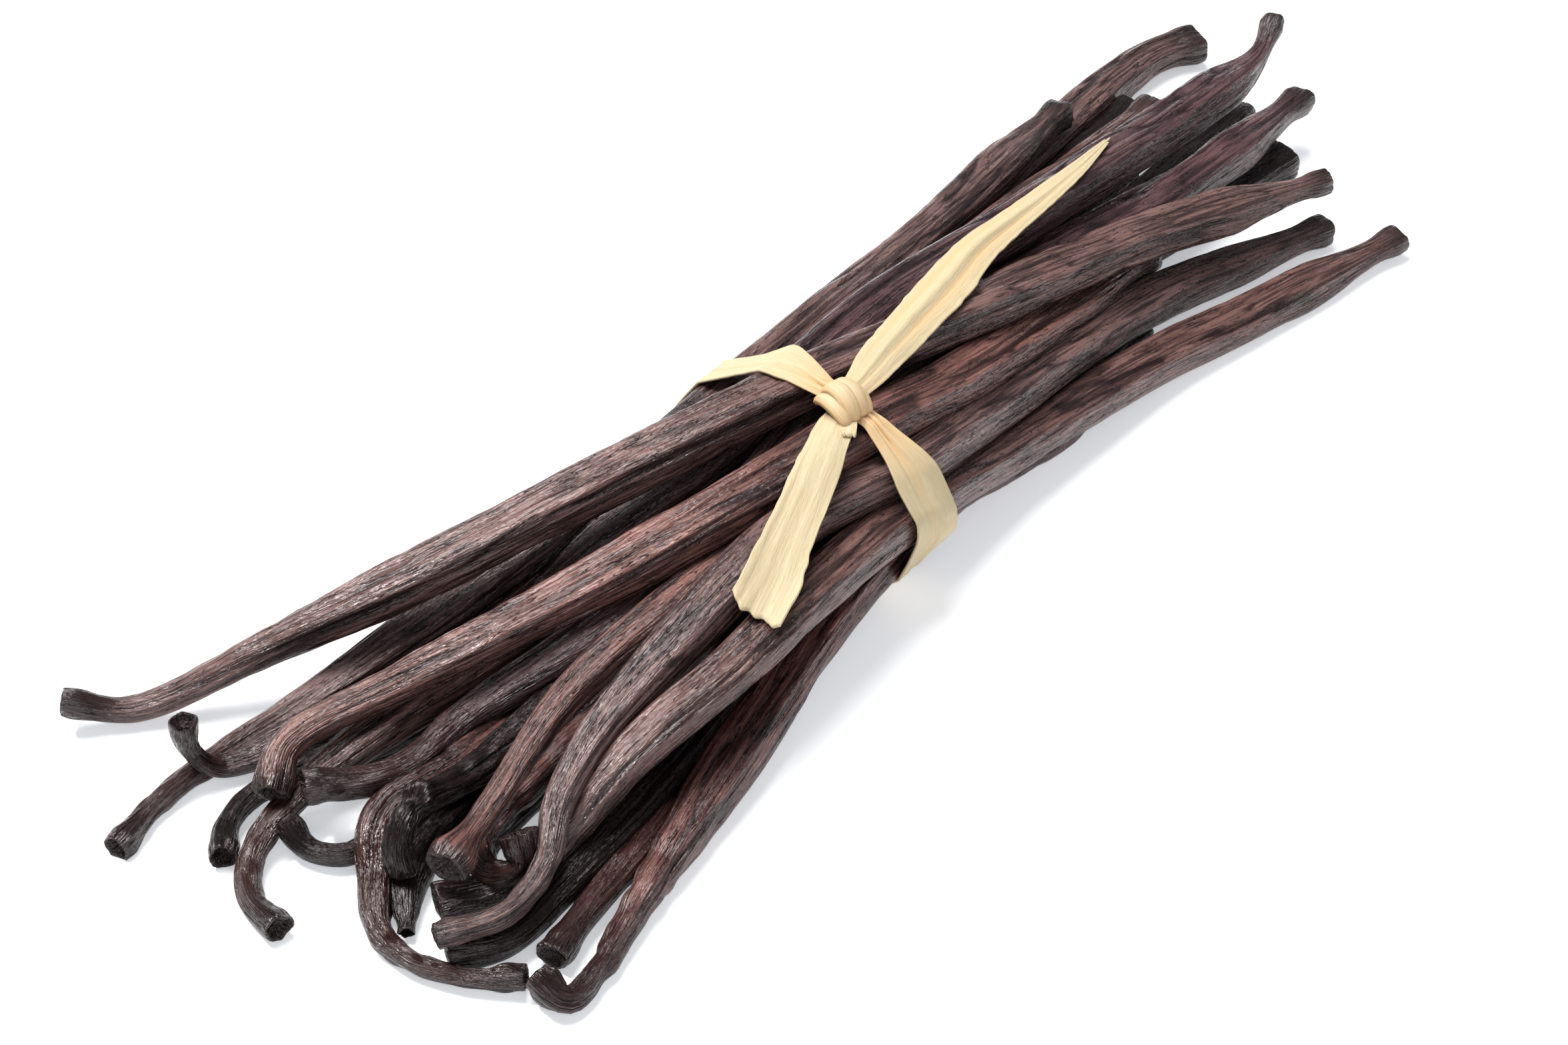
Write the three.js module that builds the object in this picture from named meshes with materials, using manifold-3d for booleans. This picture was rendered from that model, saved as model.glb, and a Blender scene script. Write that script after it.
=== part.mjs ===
// A bundle of cured vanilla pods, tied round the middle with a strip of raffia.
// Millimetres, +Z up. The pods lie along X with their hooked stem ends towards -X,
// on the surface z = 0, and the origin is the middle of the bundle's base.
import * as THREE from "three";
import { mergeVertices } from "three/addons/utils/BufferGeometryUtils.js";
import Module from "manifold-3d";

const wasm = await Module();
wasm.setup();

// ---- Driving dimensions -------------------------------------------------------------

// The tie's place: every route below is measured along and across from it.
const TIE = { x: -9.64, y: -4.28 };

// One pod: width and thickness of the body, width of the thin neck at the stem,
// length over which the neck swells into the body, width of the blossom end as a
// share of the body, and how much wider the lip at the stem is where that stands out.
// The route runs from the stem end to the blossom end: x from the tie, y across,
// z above the surface.
const PODS = [
  {
    name: "long left pod",
    width: 6.4, thick: 5.2, neck: 3.2, swell: 55, blossom: 0.45,
    route: [
      [-89, 42.2, 4.2], [-83, 37, 2.2], [-69, 28.5, 7.4], [-51, 18.5, 14.4], [-22, 7.5, 20.9],
      [0, 2, 22.6], [20, 0, 19.9], [59, -2, 13.4], [94, -9, 8.4],
    ],
  },
  {
    name: "pod with the foremost knob",
    width: 6.0, thick: 4.8, neck: 2.8, swell: 60, blossom: 0.65, flare: 0.9,
    route: [
      [-99, 21.2, 1.4], [-88, 23.6, 1.6], [-70, 22, 2.6], [-51, 19, 6.1], [-25, 14.5, 12.8],
      [0, 14, 15.9], [38, 20.5, 11.9], [84, 30.2, 7.4],
    ],
  },
  {
    name: "pod with the upright hook",
    width: 6.8, thick: 5.0, neck: 2.4, swell: 28, blossom: 0.35, flare: 1.0,
    route: [
      [-86, 23.5, 10.4], [-85.5, 23.5, 5.9], [-83, 22, 2.2], [-75, 19, 2.4], [-58, 15.5, 2.4],
      [-42, 13.2, 5.4], [-30, 10.8, 10.2], [-12, 7, 15.2], [0, 7.4, 17.7], [20, 9, 18.4],
      [45, 9.5, 16.9], [94, 12.5, 12.4], [109, 14, 12], [115.5, 16, 14.2],
    ],
  },
  {
    name: "broad red pod",
    width: 6.8, thick: 5.2, neck: 4.0, swell: 60, blossom: 0.5,
    route: [
      [-84, 11, 5.9], [-79, 13.5, 8.4], [-65, 8.5, 11.9], [-50, 1.5, 16.4], [-24, -6, 20.9],
      [0, -8, 20.9], [14, -7, 17.4], [42, -3, 10.9], [66, 0, 6.4],
    ],
  },
  {
    name: "pod with the front curl",
    width: 5.8, thick: 4.8, neck: 2.8, swell: 50, blossom: 0.8, flare: 0.8,
    route: [
      [-95.5, -2.5, 2], [-94.5, 3, 1.8], [-90, 8, 2], [-82, 10, 3.9], [-68, 9, 6.6],
      [-35, 7, 7.9], [0, 10.2, 11.6], [40, 15.3, 10.6], [80, 20, 6.6], [96, 22, 5.6],
    ],
  },
  {
    name: "pod with the square end",
    width: 6.2, thick: 5.0, neck: 3.8, swell: 60, blossom: 0.55,
    route: [
      [-81.8, 7.4, 7.4], [-73, 2.2, 6.6], [-61, 2, 7.9], [-44, -3, 12.9], [-20, -2, 15],
      [0, 0.5, 17], [40, 4.5, 13.4], [80, 4.5, 8.9], [110, 6.5, 7.4],
    ],
  },
  {
    name: "low pod under the curl",
    width: 5.8, thick: 4.6, neck: 2.6, swell: 50, blossom: 0.95,
    route: [
      [-84.6, 8, 3.4], [-84.8, 4.1, 2], [-82.6, 0.6, 1.8], [-79, 0, 1.8], [-71, 2.3, 2.3],
      [-60, 3.6, 2.6], [-30, 4, 4.4], [0, 8.5, 7], [50, 7.2, 3], [75, 5, 2.4],
      [102, 3.5, 2.4],
    ],
  },
  {
    name: "pod bent down over the loop",
    width: 6.0, thick: 4.8, neck: 3.3, swell: 44, blossom: 0.75,
    route: [
      [-81.5, -8, 4.4], [-81, -7, 7.4], [-77, -5.5, 9.4], [-68, -5.5, 8.2], [-45, -4, 8.9],
      [0, 3.8, 12], [45, 9, 8.4], [75, 10.5, 3.8], [90, 12.6, 2.8], [108, 15, 2.4],
    ],
  },
  {
    name: "pod with the long loop",
    width: 5.6, thick: 4.6, neck: 2.4, swell: 45, blossom: 0.8,
    route: [
      [-82.5, -28.2, 2], [-85.8, -24, 1.8], [-88.8, -17, 1.7], [-88, -11, 1.7], [-82.8, -4.8, 3],
      [-77.5, -0.8, 5], [-67, -1.5, 5.6], [-50, -1.3, 5.7], [-25, -0.8, 6], [0, 2, 7.2],
      [30, 2.3, 4.6], [58, 2.5, 2.4],
    ],
  },
  {
    name: "pod with the tapering tip",
    width: 5.6, thick: 4.6, neck: 1.0, start: -3, swell: 10, blossom: 0.8, flare: 0,
    route: [
      [-86, -13, 1.4], [-79.5, -7, 2], [-66, -4, 2.4], [-30, -2.2, 2.4], [0, 4, 3.4], [34, 6, 2.4],
    ],
  },
  {
    name: "dark pod with the blunt end",
    width: 6.2, thick: 4.6, neck: 4.2, swell: 34, blossom: 0.65,
    route: [
      [-85.5, -19.5, 2.2], [-80, -22.8, 2.4], [-71, -22, 3], [-45, -18, 4.9], [0, -9.8, 10.6],
      [20, -10, 7.6], [43, -7.5, 3.8], [56, -6.2, 2.3],
    ],
  },
  {
    name: "grey pod with the big hook",
    width: 6.2, thick: 5.0, neck: 2.7, swell: 64, blossom: 0.6,
    route: [
      [-86.5, -19, 5.4], [-79.5, -22.5, 5.9], [-72.3, -21.5, 7.4], [-66.5, -18, 9.9],
      [-58, -15.5, 12.9], [-41, -14, 16.9], [-20, -12, 18.7], [0, -13.2, 16.9],
      [21, -10, 12.2], [38, -7.6, 9], [60, -6.2, 5.6], [78, -8, 3], [92, -11, 2.4],
    ],
  },
  {
    name: "red pod with the flared end",
    width: 5.4, thick: 4.8, neck: 3.1, swell: 62, blossom: 0.5, flare: 2.4,
    route: [
      [-81, -15, 9.4], [-72.5, -12.9, 10.4], [-55.6, -9, 13.9], [-38, -9, 16.4], [-18, -8.5, 16.4],
      [0, -6, 15.2], [30, 0, 10.9], [62, 1.5, 5.6],
    ],
  },
  {
    name: "pod with the rough knob",
    width: 5.4, thick: 4.4, neck: 3.2, swell: 40, blossom: 0.5, flare: 1.2,
    route: [
      [-72, -17, 8.9], [-73, -18.7, 6.2], [-75.5, -16.5, 5], [-73, -11.5, 4.8], [-60, -9, 5.9],
      [-38, -8.5, 7.7], [0, -3.2, 10], [40, -2.5, 6.6], [66, -1.5, 2.6],
    ],
  },
  {
    name: "brown pod under the hook",
    width: 6.2, thick: 4.8, neck: 4.6, swell: 55, blossom: 0.5,
    route: [
      [-81.5, -14, 2.8], [-74.5, -17.5, 3.2], [-66, -18.8, 6.4], [-57.5, -19, 10.4],
      [-40, -20.5, 14.9], [-20, -18.6, 15.6], [0, -15.7, 12.4], [20, -13.6, 8],
      [38, -13, 5.6], [52, -13.3, 3.8], [67, -15.2, 2.5], [97, -20, 2.4],
    ],
  },
  {
    name: "rightmost pod with the tight hook",
    width: 6.4, thick: 5.0, neck: 2.8, swell: 46, blossom: 0.5, flare: 1.3,
    route: [
      [-82, -30, 3], [-81.5, -33.7, 1.7], [-75, -33, 1.8], [-66, -30, 2.2], [-42, -23, 4.4],
      [-20, -17.2, 6.9], [0, -12.9, 6.9], [10, -11.4, 6], [23, -11.1, 3.6], [36, -11.4, 2.4],
      [47, -11, 2.2],
    ],
  },
  {
    name: "short pod at the right",
    width: 6.2, thick: 4.6, neck: 3.4, swell: 26, blossom: 0.8,
    route: [
      [-78.1, -28.4, 2], [-72.1, -26.7, 2.2], [-48, -20.4, 2.2], [-20, -13.5, 2.4], [0, -9.2, 3.5],
      [32, -7, 2.4],
    ],
  },
  {
    name: "dark pod with the curled end",
    width: 5.8, thick: 4.6, neck: 2.8, swell: 40, blossom: 0.8, flare: 0.9,
    route: [
      [-92, 10.5, 1.8], [-88.5, 14, 1.8], [-83, 15.5, 2], [-76, 13.8, 2.2], [-60, 9.8, 2.2],
      [-46, 9.8, 2], [-30, 13, 2.8], [0, 15.4, 6.8], [45, 19, 3.9], [82, 25, 2.2], [98, 27, 2.4],
    ],
  },
  {
    name: "far left pod",
    width: 6.4, thick: 4.8, neck: 3.4, swell: 50, blossom: 0.8,
    route: [
      [-46, 22.5, 2.8], [-25, 19.5, 6.9], [0, 17, 11.2], [45, 22.5, 6.9], [88, 32, 2.4],
      [110, 33.6, 2.8], [118, 31, 3],
    ],
  },
  {
    name: "lowest pod at the left",
    width: 5.8, thick: 4.6, neck: 3.0, swell: 50, blossom: 0.8,
    route: [[-30, 7.5, 2.4], [0, 10.5, 3.3], [45, 13.2, 2.4], [84, 18.5, 2]],
  },
  {
    name: "lowest pod at the right",
    width: 5.8, thick: 4.6, neck: 3.2, swell: 50, blossom: 0.8,
    route: [
      [-70, -16.5, 2.4], [-58, -15, 2.4], [-35, -8.5, 2.4], [0, -2.6, 3.3], [45, -2.8, 2.4],
    ],
  },
  {
    name: "lowest pod in the middle",
    width: 5.8, thick: 4.6, neck: 3.2, swell: 40, blossom: 0.8,
    route: [[-74, -11, 2.4], [-35, -5, 2.4], [0, 1, 3.3], [45, 2, 2.4]],
  },
];

// Shape shared by all pods.
const SIDES = 8;
const STEM_START = 5; // the neck keeps its width over this length, where a pod gives none
const FLARE = 0.5; // swollen lip where the pod was cut, where a pod gives none of its own
const TIP_FLARE = 0.9; // the smaller lip of the blossom end
const FLARE_AT = 1.2;
const FLARE_SPREAD = 2.4;
const BLOSSOM_TAPER = 20;
const BLOSSOM_START = 3;
const NECK_ROUND = 0.95; // thickness of the neck as a share of its width
const END_DOME = { out: 0.8, share: 0.6 }; // rounded rim of both ends

// Spacing of the rings: close in the hooks and curls, wide along the straight body.
const HOOK_LENGTH = 34;
const TAIL_LENGTH = 30;
const HOOK_STEP = 4;
const BODY_STEP = 15;
const TAIL_STEP = 8;

// The packed middle of the bundle, inside the outer pods: x from the tie, middle of
// its width, half its width, lowest and highest point.
const CORE_SIDES = 10;
const CORE = [
  { x: -48, y: -4, half: 9, low: 2, high: 6 },
  { x: -22, y: -1, half: 12, low: 2, high: 13 },
  { x: 0, y: 0, half: 13, low: 2, high: 19 },
  { x: 22, y: 2, half: 12, low: 2, high: 13 },
  { x: 48, y: 5, half: 11, low: 2, high: 8 },
  { x: 62, y: 7, half: 8, low: 2, high: 5 },
];

// The raffia strip.
const RAFFIA = {
  thick: 0.5,
  gap: 0.55, // clearance to the pods' smooth skins; their flat sides leave less
  bandWidth: 5.4,
  slackWidth: 6.8, // on the right side, where the band is slack and lies open
  bunchedWidth: 2.8, // where the band runs into the knot
  bunchedLength: 9,
  bandX: -3.9, // middle of the band from the tie's place
};
const KNOT = { x: -5, y: -6.2, length: 4.8, width: 5.8, height: 3.3 };

// The two free tails and the short stub: middle line across the pods (x, y from the
// tie) and the full width there. Each lies on whatever is highest under it.
const FRONT_TAIL = [
  { x: -5, y: -6.3, width: 2.8 },
  { x: -7.6, y: -7.6, width: 4.4 },
  { x: -13.2, y: -10.3, width: 5.2 },
  { x: -18.9, y: -12.9, width: 5.4 },
  { x: -25.2, y: -15.5, width: 5.9 },
  { x: -30.4, y: -17.9, width: 6.6 },
  { x: -35, y: -19.4, width: 6.6 },
];
const BACK_TAIL = [
  { x: -4, y: -5.5, width: 2.6 },
  { x: 4, y: -3.5, width: 4.6 },
  { x: 14, y: -0.8, width: 5.8 },
  { x: 25, y: 2.3, width: 6.4 },
  { x: 35, y: 5.4, width: 5.4 },
  { x: 44, y: 6.9, width: 4.3 },
  { x: 53, y: 8.3, width: 3.6 },
  { x: 62, y: 9.9, width: 2.5 },
  { x: 71, y: 11.9, width: 1 },
];
const STUB = [
  { x: -4.2, y: -5.8, width: 2 },
  { x: -6.6, y: -8.6, width: 2 },
  { x: -8.6, y: -10.6, width: 1.8 },
];

const POD_COLOUR = 0x3a2622;
const RAFFIA_COLOUR = 0xe6cf9c;

// ---- Closed meshes ------------------------------------------------------------------

// A solid from a closed triangle mesh given as points and index triples.
function solidFrom(points, triangles) {
  const geometry = new THREE.BufferGeometry().setFromPoints(points);
  geometry.setIndex(triangles);
  return solidFromGeometry(geometry);
}

function solidFromGeometry(geometry) {
  geometry.deleteAttribute("normal");
  geometry.deleteAttribute("uv");
  const merged = mergeVertices(geometry, 1e-4);
  return new wasm.Manifold(
    new wasm.Mesh({
      numProp: 3,
      vertProperties: new Float32Array(merged.attributes.position.array),
      triVerts: new Uint32Array(merged.index.array),
    }),
  );
}

function geometryFrom(solid) {
  const mesh = solid.getMesh();
  const geometry = new THREE.BufferGeometry();
  geometry.setAttribute("position", new THREE.BufferAttribute(mesh.vertProperties, 3));
  geometry.setIndex(new THREE.BufferAttribute(mesh.triVerts, 1));
  geometry.computeVertexNormals();
  return geometry;
}

// Joins rings of equally many points, each ring turning anticlockwise as seen from the
// far end. An open loft is capped at both ends; a looped one runs back into itself.
function loft(rings, looped = false) {
  const count = rings[0].length;
  const triangles = [];
  const spans = looped ? rings.length : rings.length - 1;
  for (let r = 0; r < spans; r++) {
    const here = r * count;
    const next = ((r + 1) % rings.length) * count;
    for (let k = 0; k < count; k++) {
      const k2 = (k + 1) % count;
      triangles.push(here + k, here + k2, next + k2);
      triangles.push(here + k, next + k2, next + k);
    }
  }
  if (!looped) {
    const last = (rings.length - 1) * count;
    for (let k = 1; k < count - 1; k++) {
      triangles.push(0, k + 1, k);
      triangles.push(last, last + k, last + k + 1);
    }
  }
  return solidFrom(rings.flat(), triangles);
}

// ---- Pods ---------------------------------------------------------------------------

function rise(from, to, value) {
  return THREE.MathUtils.smoothstep(value, from, to);
}

function lip(height, fromEnd) {
  return height * Math.exp(-(((fromEnd - FLARE_AT) / FLARE_SPREAD) ** 2));
}

// Half width and half thickness of a pod at a distance along it.
function halfSection(pod, at, length) {
  const swell = rise(pod.start ?? STEM_START, pod.swell, at);
  const ending = rise(BLOSSOM_START, BLOSSOM_TAPER, length - at);
  const tip = pod.blossom + (1 - pod.blossom) * ending;
  const lips = lip(pod.flare ?? FLARE, at) + lip(TIP_FLARE, length - at);
  const neckThick = pod.neck * NECK_ROUND;
  const width = (pod.neck + (pod.width - pod.neck) * swell) * tip + lips;
  const thick = (neckThick + (pod.thick - neckThick) * swell) * tip + lips;
  return { across: width / 2, up: thick / 2 };
}

// Distances of the rings along a pod of this length.
function ringPlaces(length) {
  const places = [];
  const evenly = (from, to, step) => {
    const parts = Math.max(1, Math.round((to - from) / step));
    for (let i = 0; i < parts; i++) places.push(from + ((to - from) * i) / parts);
  };
  evenly(0, HOOK_LENGTH, HOOK_STEP);
  evenly(HOOK_LENGTH, length - TAIL_LENGTH, BODY_STEP);
  evenly(length - TAIL_LENGTH, length, TAIL_STEP);
  places.push(length);
  return places;
}

// Centre, direction, sideways and upward axes at each distance. The axes start level at
// the tie and are carried along the route without twisting.
function framesAlong(curve, places) {
  const length = curve.getLength();
  const frames = places.map((at) => ({
    at,
    centre: curve.getPointAt(at / length),
    along: curve.getTangentAt(at / length),
  }));
  const fromTie = frames.map((f) => Math.abs(f.centre.x - TIE.x));
  const start = fromTie.indexOf(Math.min(...fromTie));
  const settle = (frame, side) => {
    frame.side = side.clone().projectOnPlane(frame.along).normalize();
    frame.up = new THREE.Vector3().crossVectors(frame.along, frame.side);
  };
  settle(frames[start], new THREE.Vector3(0, 1, 0));
  for (let i = start + 1; i < frames.length; i++) settle(frames[i], frames[i - 1].side);
  for (let i = start - 1; i >= 0; i--) settle(frames[i], frames[i + 1].side);
  return frames;
}

function podCurve(pod) {
  const points = pod.route.map(([x, y, z]) => new THREE.Vector3(x + TIE.x, y + TIE.y, z));
  const curve = new THREE.CatmullRomCurve3(points);
  curve.arcLengthDivisions = 400;
  return curve;
}

// An elliptical ring round a frame, moved out along the pod and shrunk by a share.
function ring(frame, half, sides, out = 0, share = 1) {
  const middle = frame.centre.clone().addScaledVector(frame.along, out);
  return Array.from({ length: sides }, (_, k) => {
    const turn = ((k + 0.5) * 2 * Math.PI) / sides;
    return middle
      .clone()
      .addScaledVector(frame.side, half.across * share * Math.cos(turn))
      .addScaledVector(frame.up, half.up * share * Math.sin(turn));
  });
}

function podRings(pod, places, sides) {
  const curve = podCurve(pod);
  const length = curve.getLength();
  return framesAlong(curve, places(length)).map((frame) => ({
    frame,
    half: halfSection(pod, frame.at, length),
    points: ring(frame, halfSection(pod, frame.at, length), sides),
  }));
}

function podSolid(pod) {
  const rings = podRings(pod, ringPlaces, SIDES);
  const first = rings[0];
  const last = rings[rings.length - 1];
  return loft([
    ring(first.frame, first.half, SIDES, -END_DOME.out, END_DOME.share),
    ...rings.map((r) => r.points),
    ring(last.frame, last.half, SIDES, END_DOME.out, END_DOME.share),
  ]);
}

// ---- The packed middle and the joined bundle ----------------------------------------

function coreSolid() {
  const along = new THREE.Vector3(1, 0, 0);
  const side = new THREE.Vector3(0, 1, 0);
  const up = new THREE.Vector3(0, 0, 1);
  const rings = CORE.map((station) => {
    const middle = (station.low + station.high) / 2;
    const centre = new THREE.Vector3(station.x + TIE.x, station.y + TIE.y, middle);
    const half = { across: station.half, up: (station.high - station.low) / 2 };
    return ring({ centre, along, side, up }, half, CORE_SIDES);
  });
  return loft(rings);
}

// Everything above the surface that the bundle lies on.
function aboveSurface() {
  const size = { x: 400, y: 200, z: 100 };
  const block = new THREE.BoxGeometry(size.x, size.y, size.z).translate(0, 0, size.z / 2);
  return solidFromGeometry(block);
}

// The outer skin of the largest body: sealed hollows between the pods are filled.
function largestBody(solid) {
  const bodies = solid.decompose();
  return bodies.reduce((a, b) => (b.volume() > a.volume() ? b : a));
}

function bundleSolid() {
  const joined = PODS.map(podSolid).reduce((all, pod) => all.add(pod), coreSolid());
  return largestBody(joined.intersect(aboveSurface()));
}

// ---- Raffia -------------------------------------------------------------------------

// Points all over the pods' skins, close enough together to lay the raffia on.
function skinPoints() {
  const SKIN_STEP = 1;
  const SKIN_SIDES = 32;
  const places = (length) =>
    Array.from({ length: Math.floor(length / SKIN_STEP) }, (_, i) => i * SKIN_STEP);
  return PODS.flatMap((pod) => podRings(pod, places, SKIN_SIDES).flatMap((r) => r.points));
}

function cross(o, a, b) {
  return (a.y - o.y) * (b.z - o.z) - (a.z - o.z) * (b.y - o.y);
}

// The outline that a string pulled tight round the points takes, seen along X.
function tightOutline(points) {
  const sorted = [...points].sort((a, b) => a.y - b.y || a.z - b.z);
  const half = (list) => {
    const chain = [];
    for (const p of list) {
      while (chain.length > 1 && cross(chain[chain.length - 2], chain[chain.length - 1], p) <= 0)
        chain.pop();
      chain.push(p);
    }
    return chain.slice(0, -1);
  };
  return [...half(sorted), ...half(sorted.reverse())];
}

// The band's inner outline: corners of the tight outline, thinned to even steps and
// moved out by the clearance.
function bandOutline(skin) {
  const LEAST_STEP = 0.9;
  const bandX = TIE.x + RAFFIA.bandX;
  const reach = RAFFIA.slackWidth / 2 + 1;
  const near = skin.filter((p) => Math.abs(p.x - bandX) < reach);
  const corners = tightOutline(near.map((p) => ({ y: p.y, z: p.z })));
  const kept = [];
  for (const corner of corners) {
    const before = kept[kept.length - 1];
    if (!before || Math.hypot(corner.y - before.y, corner.z - before.z) > LEAST_STEP)
      kept.push(corner);
  }
  return kept.map((here, i) => {
    const before = kept[(i + kept.length - 1) % kept.length];
    const after = kept[(i + 1) % kept.length];
    const run = Math.hypot(after.y - before.y, after.z - before.z);
    const outY = (after.z - before.z) / run;
    const outZ = (before.y - after.y) / run;
    return { y: here.y, z: here.z, outY, outZ };
  });
}

function bandSolid(skin) {
  const bandX = TIE.x + RAFFIA.bandX;
  const knotY = TIE.y + KNOT.y;
  const top = Math.max(...skin.map((p) => p.z));
  const rings = bandOutline(skin).map((p) => {
    const fromKnot = Math.hypot(p.y - knotY, p.z - top);
    const spread = rise(KNOT.width / 2, KNOT.width / 2 + RAFFIA.bunchedLength, fromKnot);
    const full = p.y < knotY ? RAFFIA.slackWidth : RAFFIA.bandWidth;
    const half = (RAFFIA.bunchedWidth + (full - RAFFIA.bunchedWidth) * spread) / 2;
    const corner = (dx, out) =>
      new THREE.Vector3(bandX + dx, p.y + p.outY * out, p.z + p.outZ * out);
    const outer = RAFFIA.gap + RAFFIA.thick;
    return [
      corner(-half, RAFFIA.gap),
      corner(half, RAFFIA.gap),
      corner(half, outer),
      corner(-half, outer),
    ];
  });
  return loft(rings, true);
}

// Height at which raffia rests over a point: the highest skin near it.
function restingHeight(skin, x, y) {
  const REACH = 1.6;
  let highest = 0;
  for (const p of skin)
    if (Math.abs(p.x - x) < REACH && Math.abs(p.y - y) < REACH && p.z > highest) highest = p.z;
  return highest + RAFFIA.gap;
}

// Heights of a stiff strip laid over supports: it bridges straight from top to top.
function bridged(distances, heights) {
  const chain = [];
  distances.forEach((s, i) => {
    const point = { s, z: heights[i] };
    const turn = (a, b, c) => (b.s - a.s) * (c.z - a.z) - (b.z - a.z) * (c.s - a.s);
    while (chain.length > 1 && turn(chain[chain.length - 2], chain[chain.length - 1], point) >= 0)
      chain.pop();
    chain.push(point);
  });
  return distances.map((s) => {
    const after = chain.findIndex((p) => p.s >= s);
    if (after <= 0) return chain[0].z;
    const [a, b] = [chain[after - 1], chain[after]];
    return a.z + ((b.z - a.z) * (s - a.s)) / (b.s - a.s);
  });
}

// Even places along a strip that runs smoothly through its stations.
function placesAlong(stations) {
  const STEP = 3;
  const smooth = new THREE.CatmullRomCurve3(
    stations.map((s) => new THREE.Vector3(s.x + TIE.x, s.y + TIE.y, s.width)),
  );
  const spans = Math.max(2, Math.round(smooth.getLength() / STEP));
  return smooth.getSpacedPoints(spans).map((p) => ({
    middle: new THREE.Vector2(p.x, p.y),
    width: p.z,
  }));
}

// A flat strip along stations, each line of it laid over the pods below.
function stripSolid(stations, skin) {
  const ACROSS = [-1, 0, 1]; // right edge, middle, left edge
  const places = placesAlong(stations);
  const distances = [0];
  for (let i = 1; i < places.length; i++)
    distances.push(distances[i - 1] + places[i].middle.distanceTo(places[i - 1].middle));
  const sideways = places.map((_, i) => {
    const from = places[Math.max(0, i - 1)].middle;
    const to = places[Math.min(places.length - 1, i + 1)].middle;
    const along = to.clone().sub(from).normalize();
    return new THREE.Vector2(-along.y, along.x);
  });
  const lines = ACROSS.map((share) => {
    const flat = places.map((p, i) =>
      p.middle.clone().addScaledVector(sideways[i], (share * p.width) / 2),
    );
    const resting = flat.map((p) => restingHeight(skin, p.x, p.y));
    const heights = bridged(distances, resting);
    return flat.map((p, i) => new THREE.Vector3(p.x, p.y, heights[i]));
  });
  const raised = (p) => p.clone().setZ(p.z + RAFFIA.thick);
  const rings = places.map((_, i) => {
    const below = lines.map((line) => line[i]);
    return [...below, ...below.map(raised).reverse()];
  });
  return loft(rings);
}

// The knot: a squashed ball that the band and both tails run into.
function knotSolid(skin) {
  const x = TIE.x + KNOT.x;
  const y = TIE.y + KNOT.y;
  const ball = new THREE.SphereGeometry(0.5, 12, 8);
  ball.scale(KNOT.length, KNOT.width, KNOT.height);
  const onTop = restingHeight(skin, x, y) + KNOT.height / 2;
  return solidFromGeometry(ball.translate(x, y, onTop));
}

function raffiaSolid() {
  const skin = skinPoints();
  const tails = [FRONT_TAIL, BACK_TAIL, STUB].map((stations) => stripSolid(stations, skin));
  const tie = tails.reduce((all, tail) => all.add(tail), bandSolid(skin).add(knotSolid(skin)));
  return tie.intersect(aboveSurface());
}

// ---- The bundle ---------------------------------------------------------------------

function namedMesh(name, solid, colour, roughness) {
  const material = new THREE.MeshStandardMaterial({
    color: colour,
    roughness,
    metalness: 0,
    flatShading: true,
  });
  const mesh = new THREE.Mesh(geometryFrom(solid), material);
  mesh.name = name;
  return mesh;
}

const bundle = new THREE.Group();
bundle.name = "vanilla_pod_bundle";
bundle.add(namedMesh("pods", bundleSolid(), POD_COLOUR, 0.45));
bundle.add(namedMesh("raffia_tie", raffiaSolid(), RAFFIA_COLOUR, 0.8));

export default bundle;
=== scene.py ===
"""A bundle of cured vanilla pods, tied round the middle with a strip of raffia.

The pods lie along X on the floor z = 0 with their hooked stem ends towards -X, where the
CAD model has them. Lengths are in millimetres: only new_piece() and the stage use metres.
"""

import functools
import math

import bpy
import numpy as np
from mathutils import Matrix, Vector


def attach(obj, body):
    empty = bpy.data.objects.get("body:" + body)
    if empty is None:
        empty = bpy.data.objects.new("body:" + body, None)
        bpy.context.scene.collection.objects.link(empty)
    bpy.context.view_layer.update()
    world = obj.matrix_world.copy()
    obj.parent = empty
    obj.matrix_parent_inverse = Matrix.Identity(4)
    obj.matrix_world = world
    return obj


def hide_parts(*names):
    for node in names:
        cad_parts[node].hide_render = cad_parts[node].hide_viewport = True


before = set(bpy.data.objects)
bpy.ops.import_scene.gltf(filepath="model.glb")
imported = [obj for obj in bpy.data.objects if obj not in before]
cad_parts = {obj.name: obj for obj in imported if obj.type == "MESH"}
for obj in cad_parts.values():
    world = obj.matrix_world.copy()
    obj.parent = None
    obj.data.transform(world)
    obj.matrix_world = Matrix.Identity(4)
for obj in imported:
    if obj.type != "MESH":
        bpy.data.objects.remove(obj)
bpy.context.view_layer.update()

MM = 0.001

# ---- Driving dimensions ----

# The tie's place: every route below is measured along and across from it.
TIE = np.array([-9.64, -4.28, 0.0])

# What a pod has where it doesn't state its own. Its shape, as in the CAD model: thickness
# of the body, the blossom end's width as a share of the body's, the length of plain neck
# at the stem (start), and the height of the lip where it was cut (flare). Its looks: the
# depth of its wrinkles as a share of the usual, the lengths of glossy (wet) and of nearly
# black (dark) skin behind the stem end, the heights of its lumps near there and of its
# torn edges, and the place of a sharp fold across the top (pinch).
USUAL = dict(
    thick=4.6, blossom=0.8, start=5, flare=0.5,
    wrinkle=1.0, wet=1, dark=10, lumps=0.09, ragged=0.3, pinch=None,
)
PODS = []


def add_pod(name, tone, *route, **own):
    """Lists a pod. Its route runs from stem to blossom: x and y from the tie, z from the floor."""
    PODS.append(dict(USUAL, name=name, tone=tone, route=route, **own))


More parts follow.
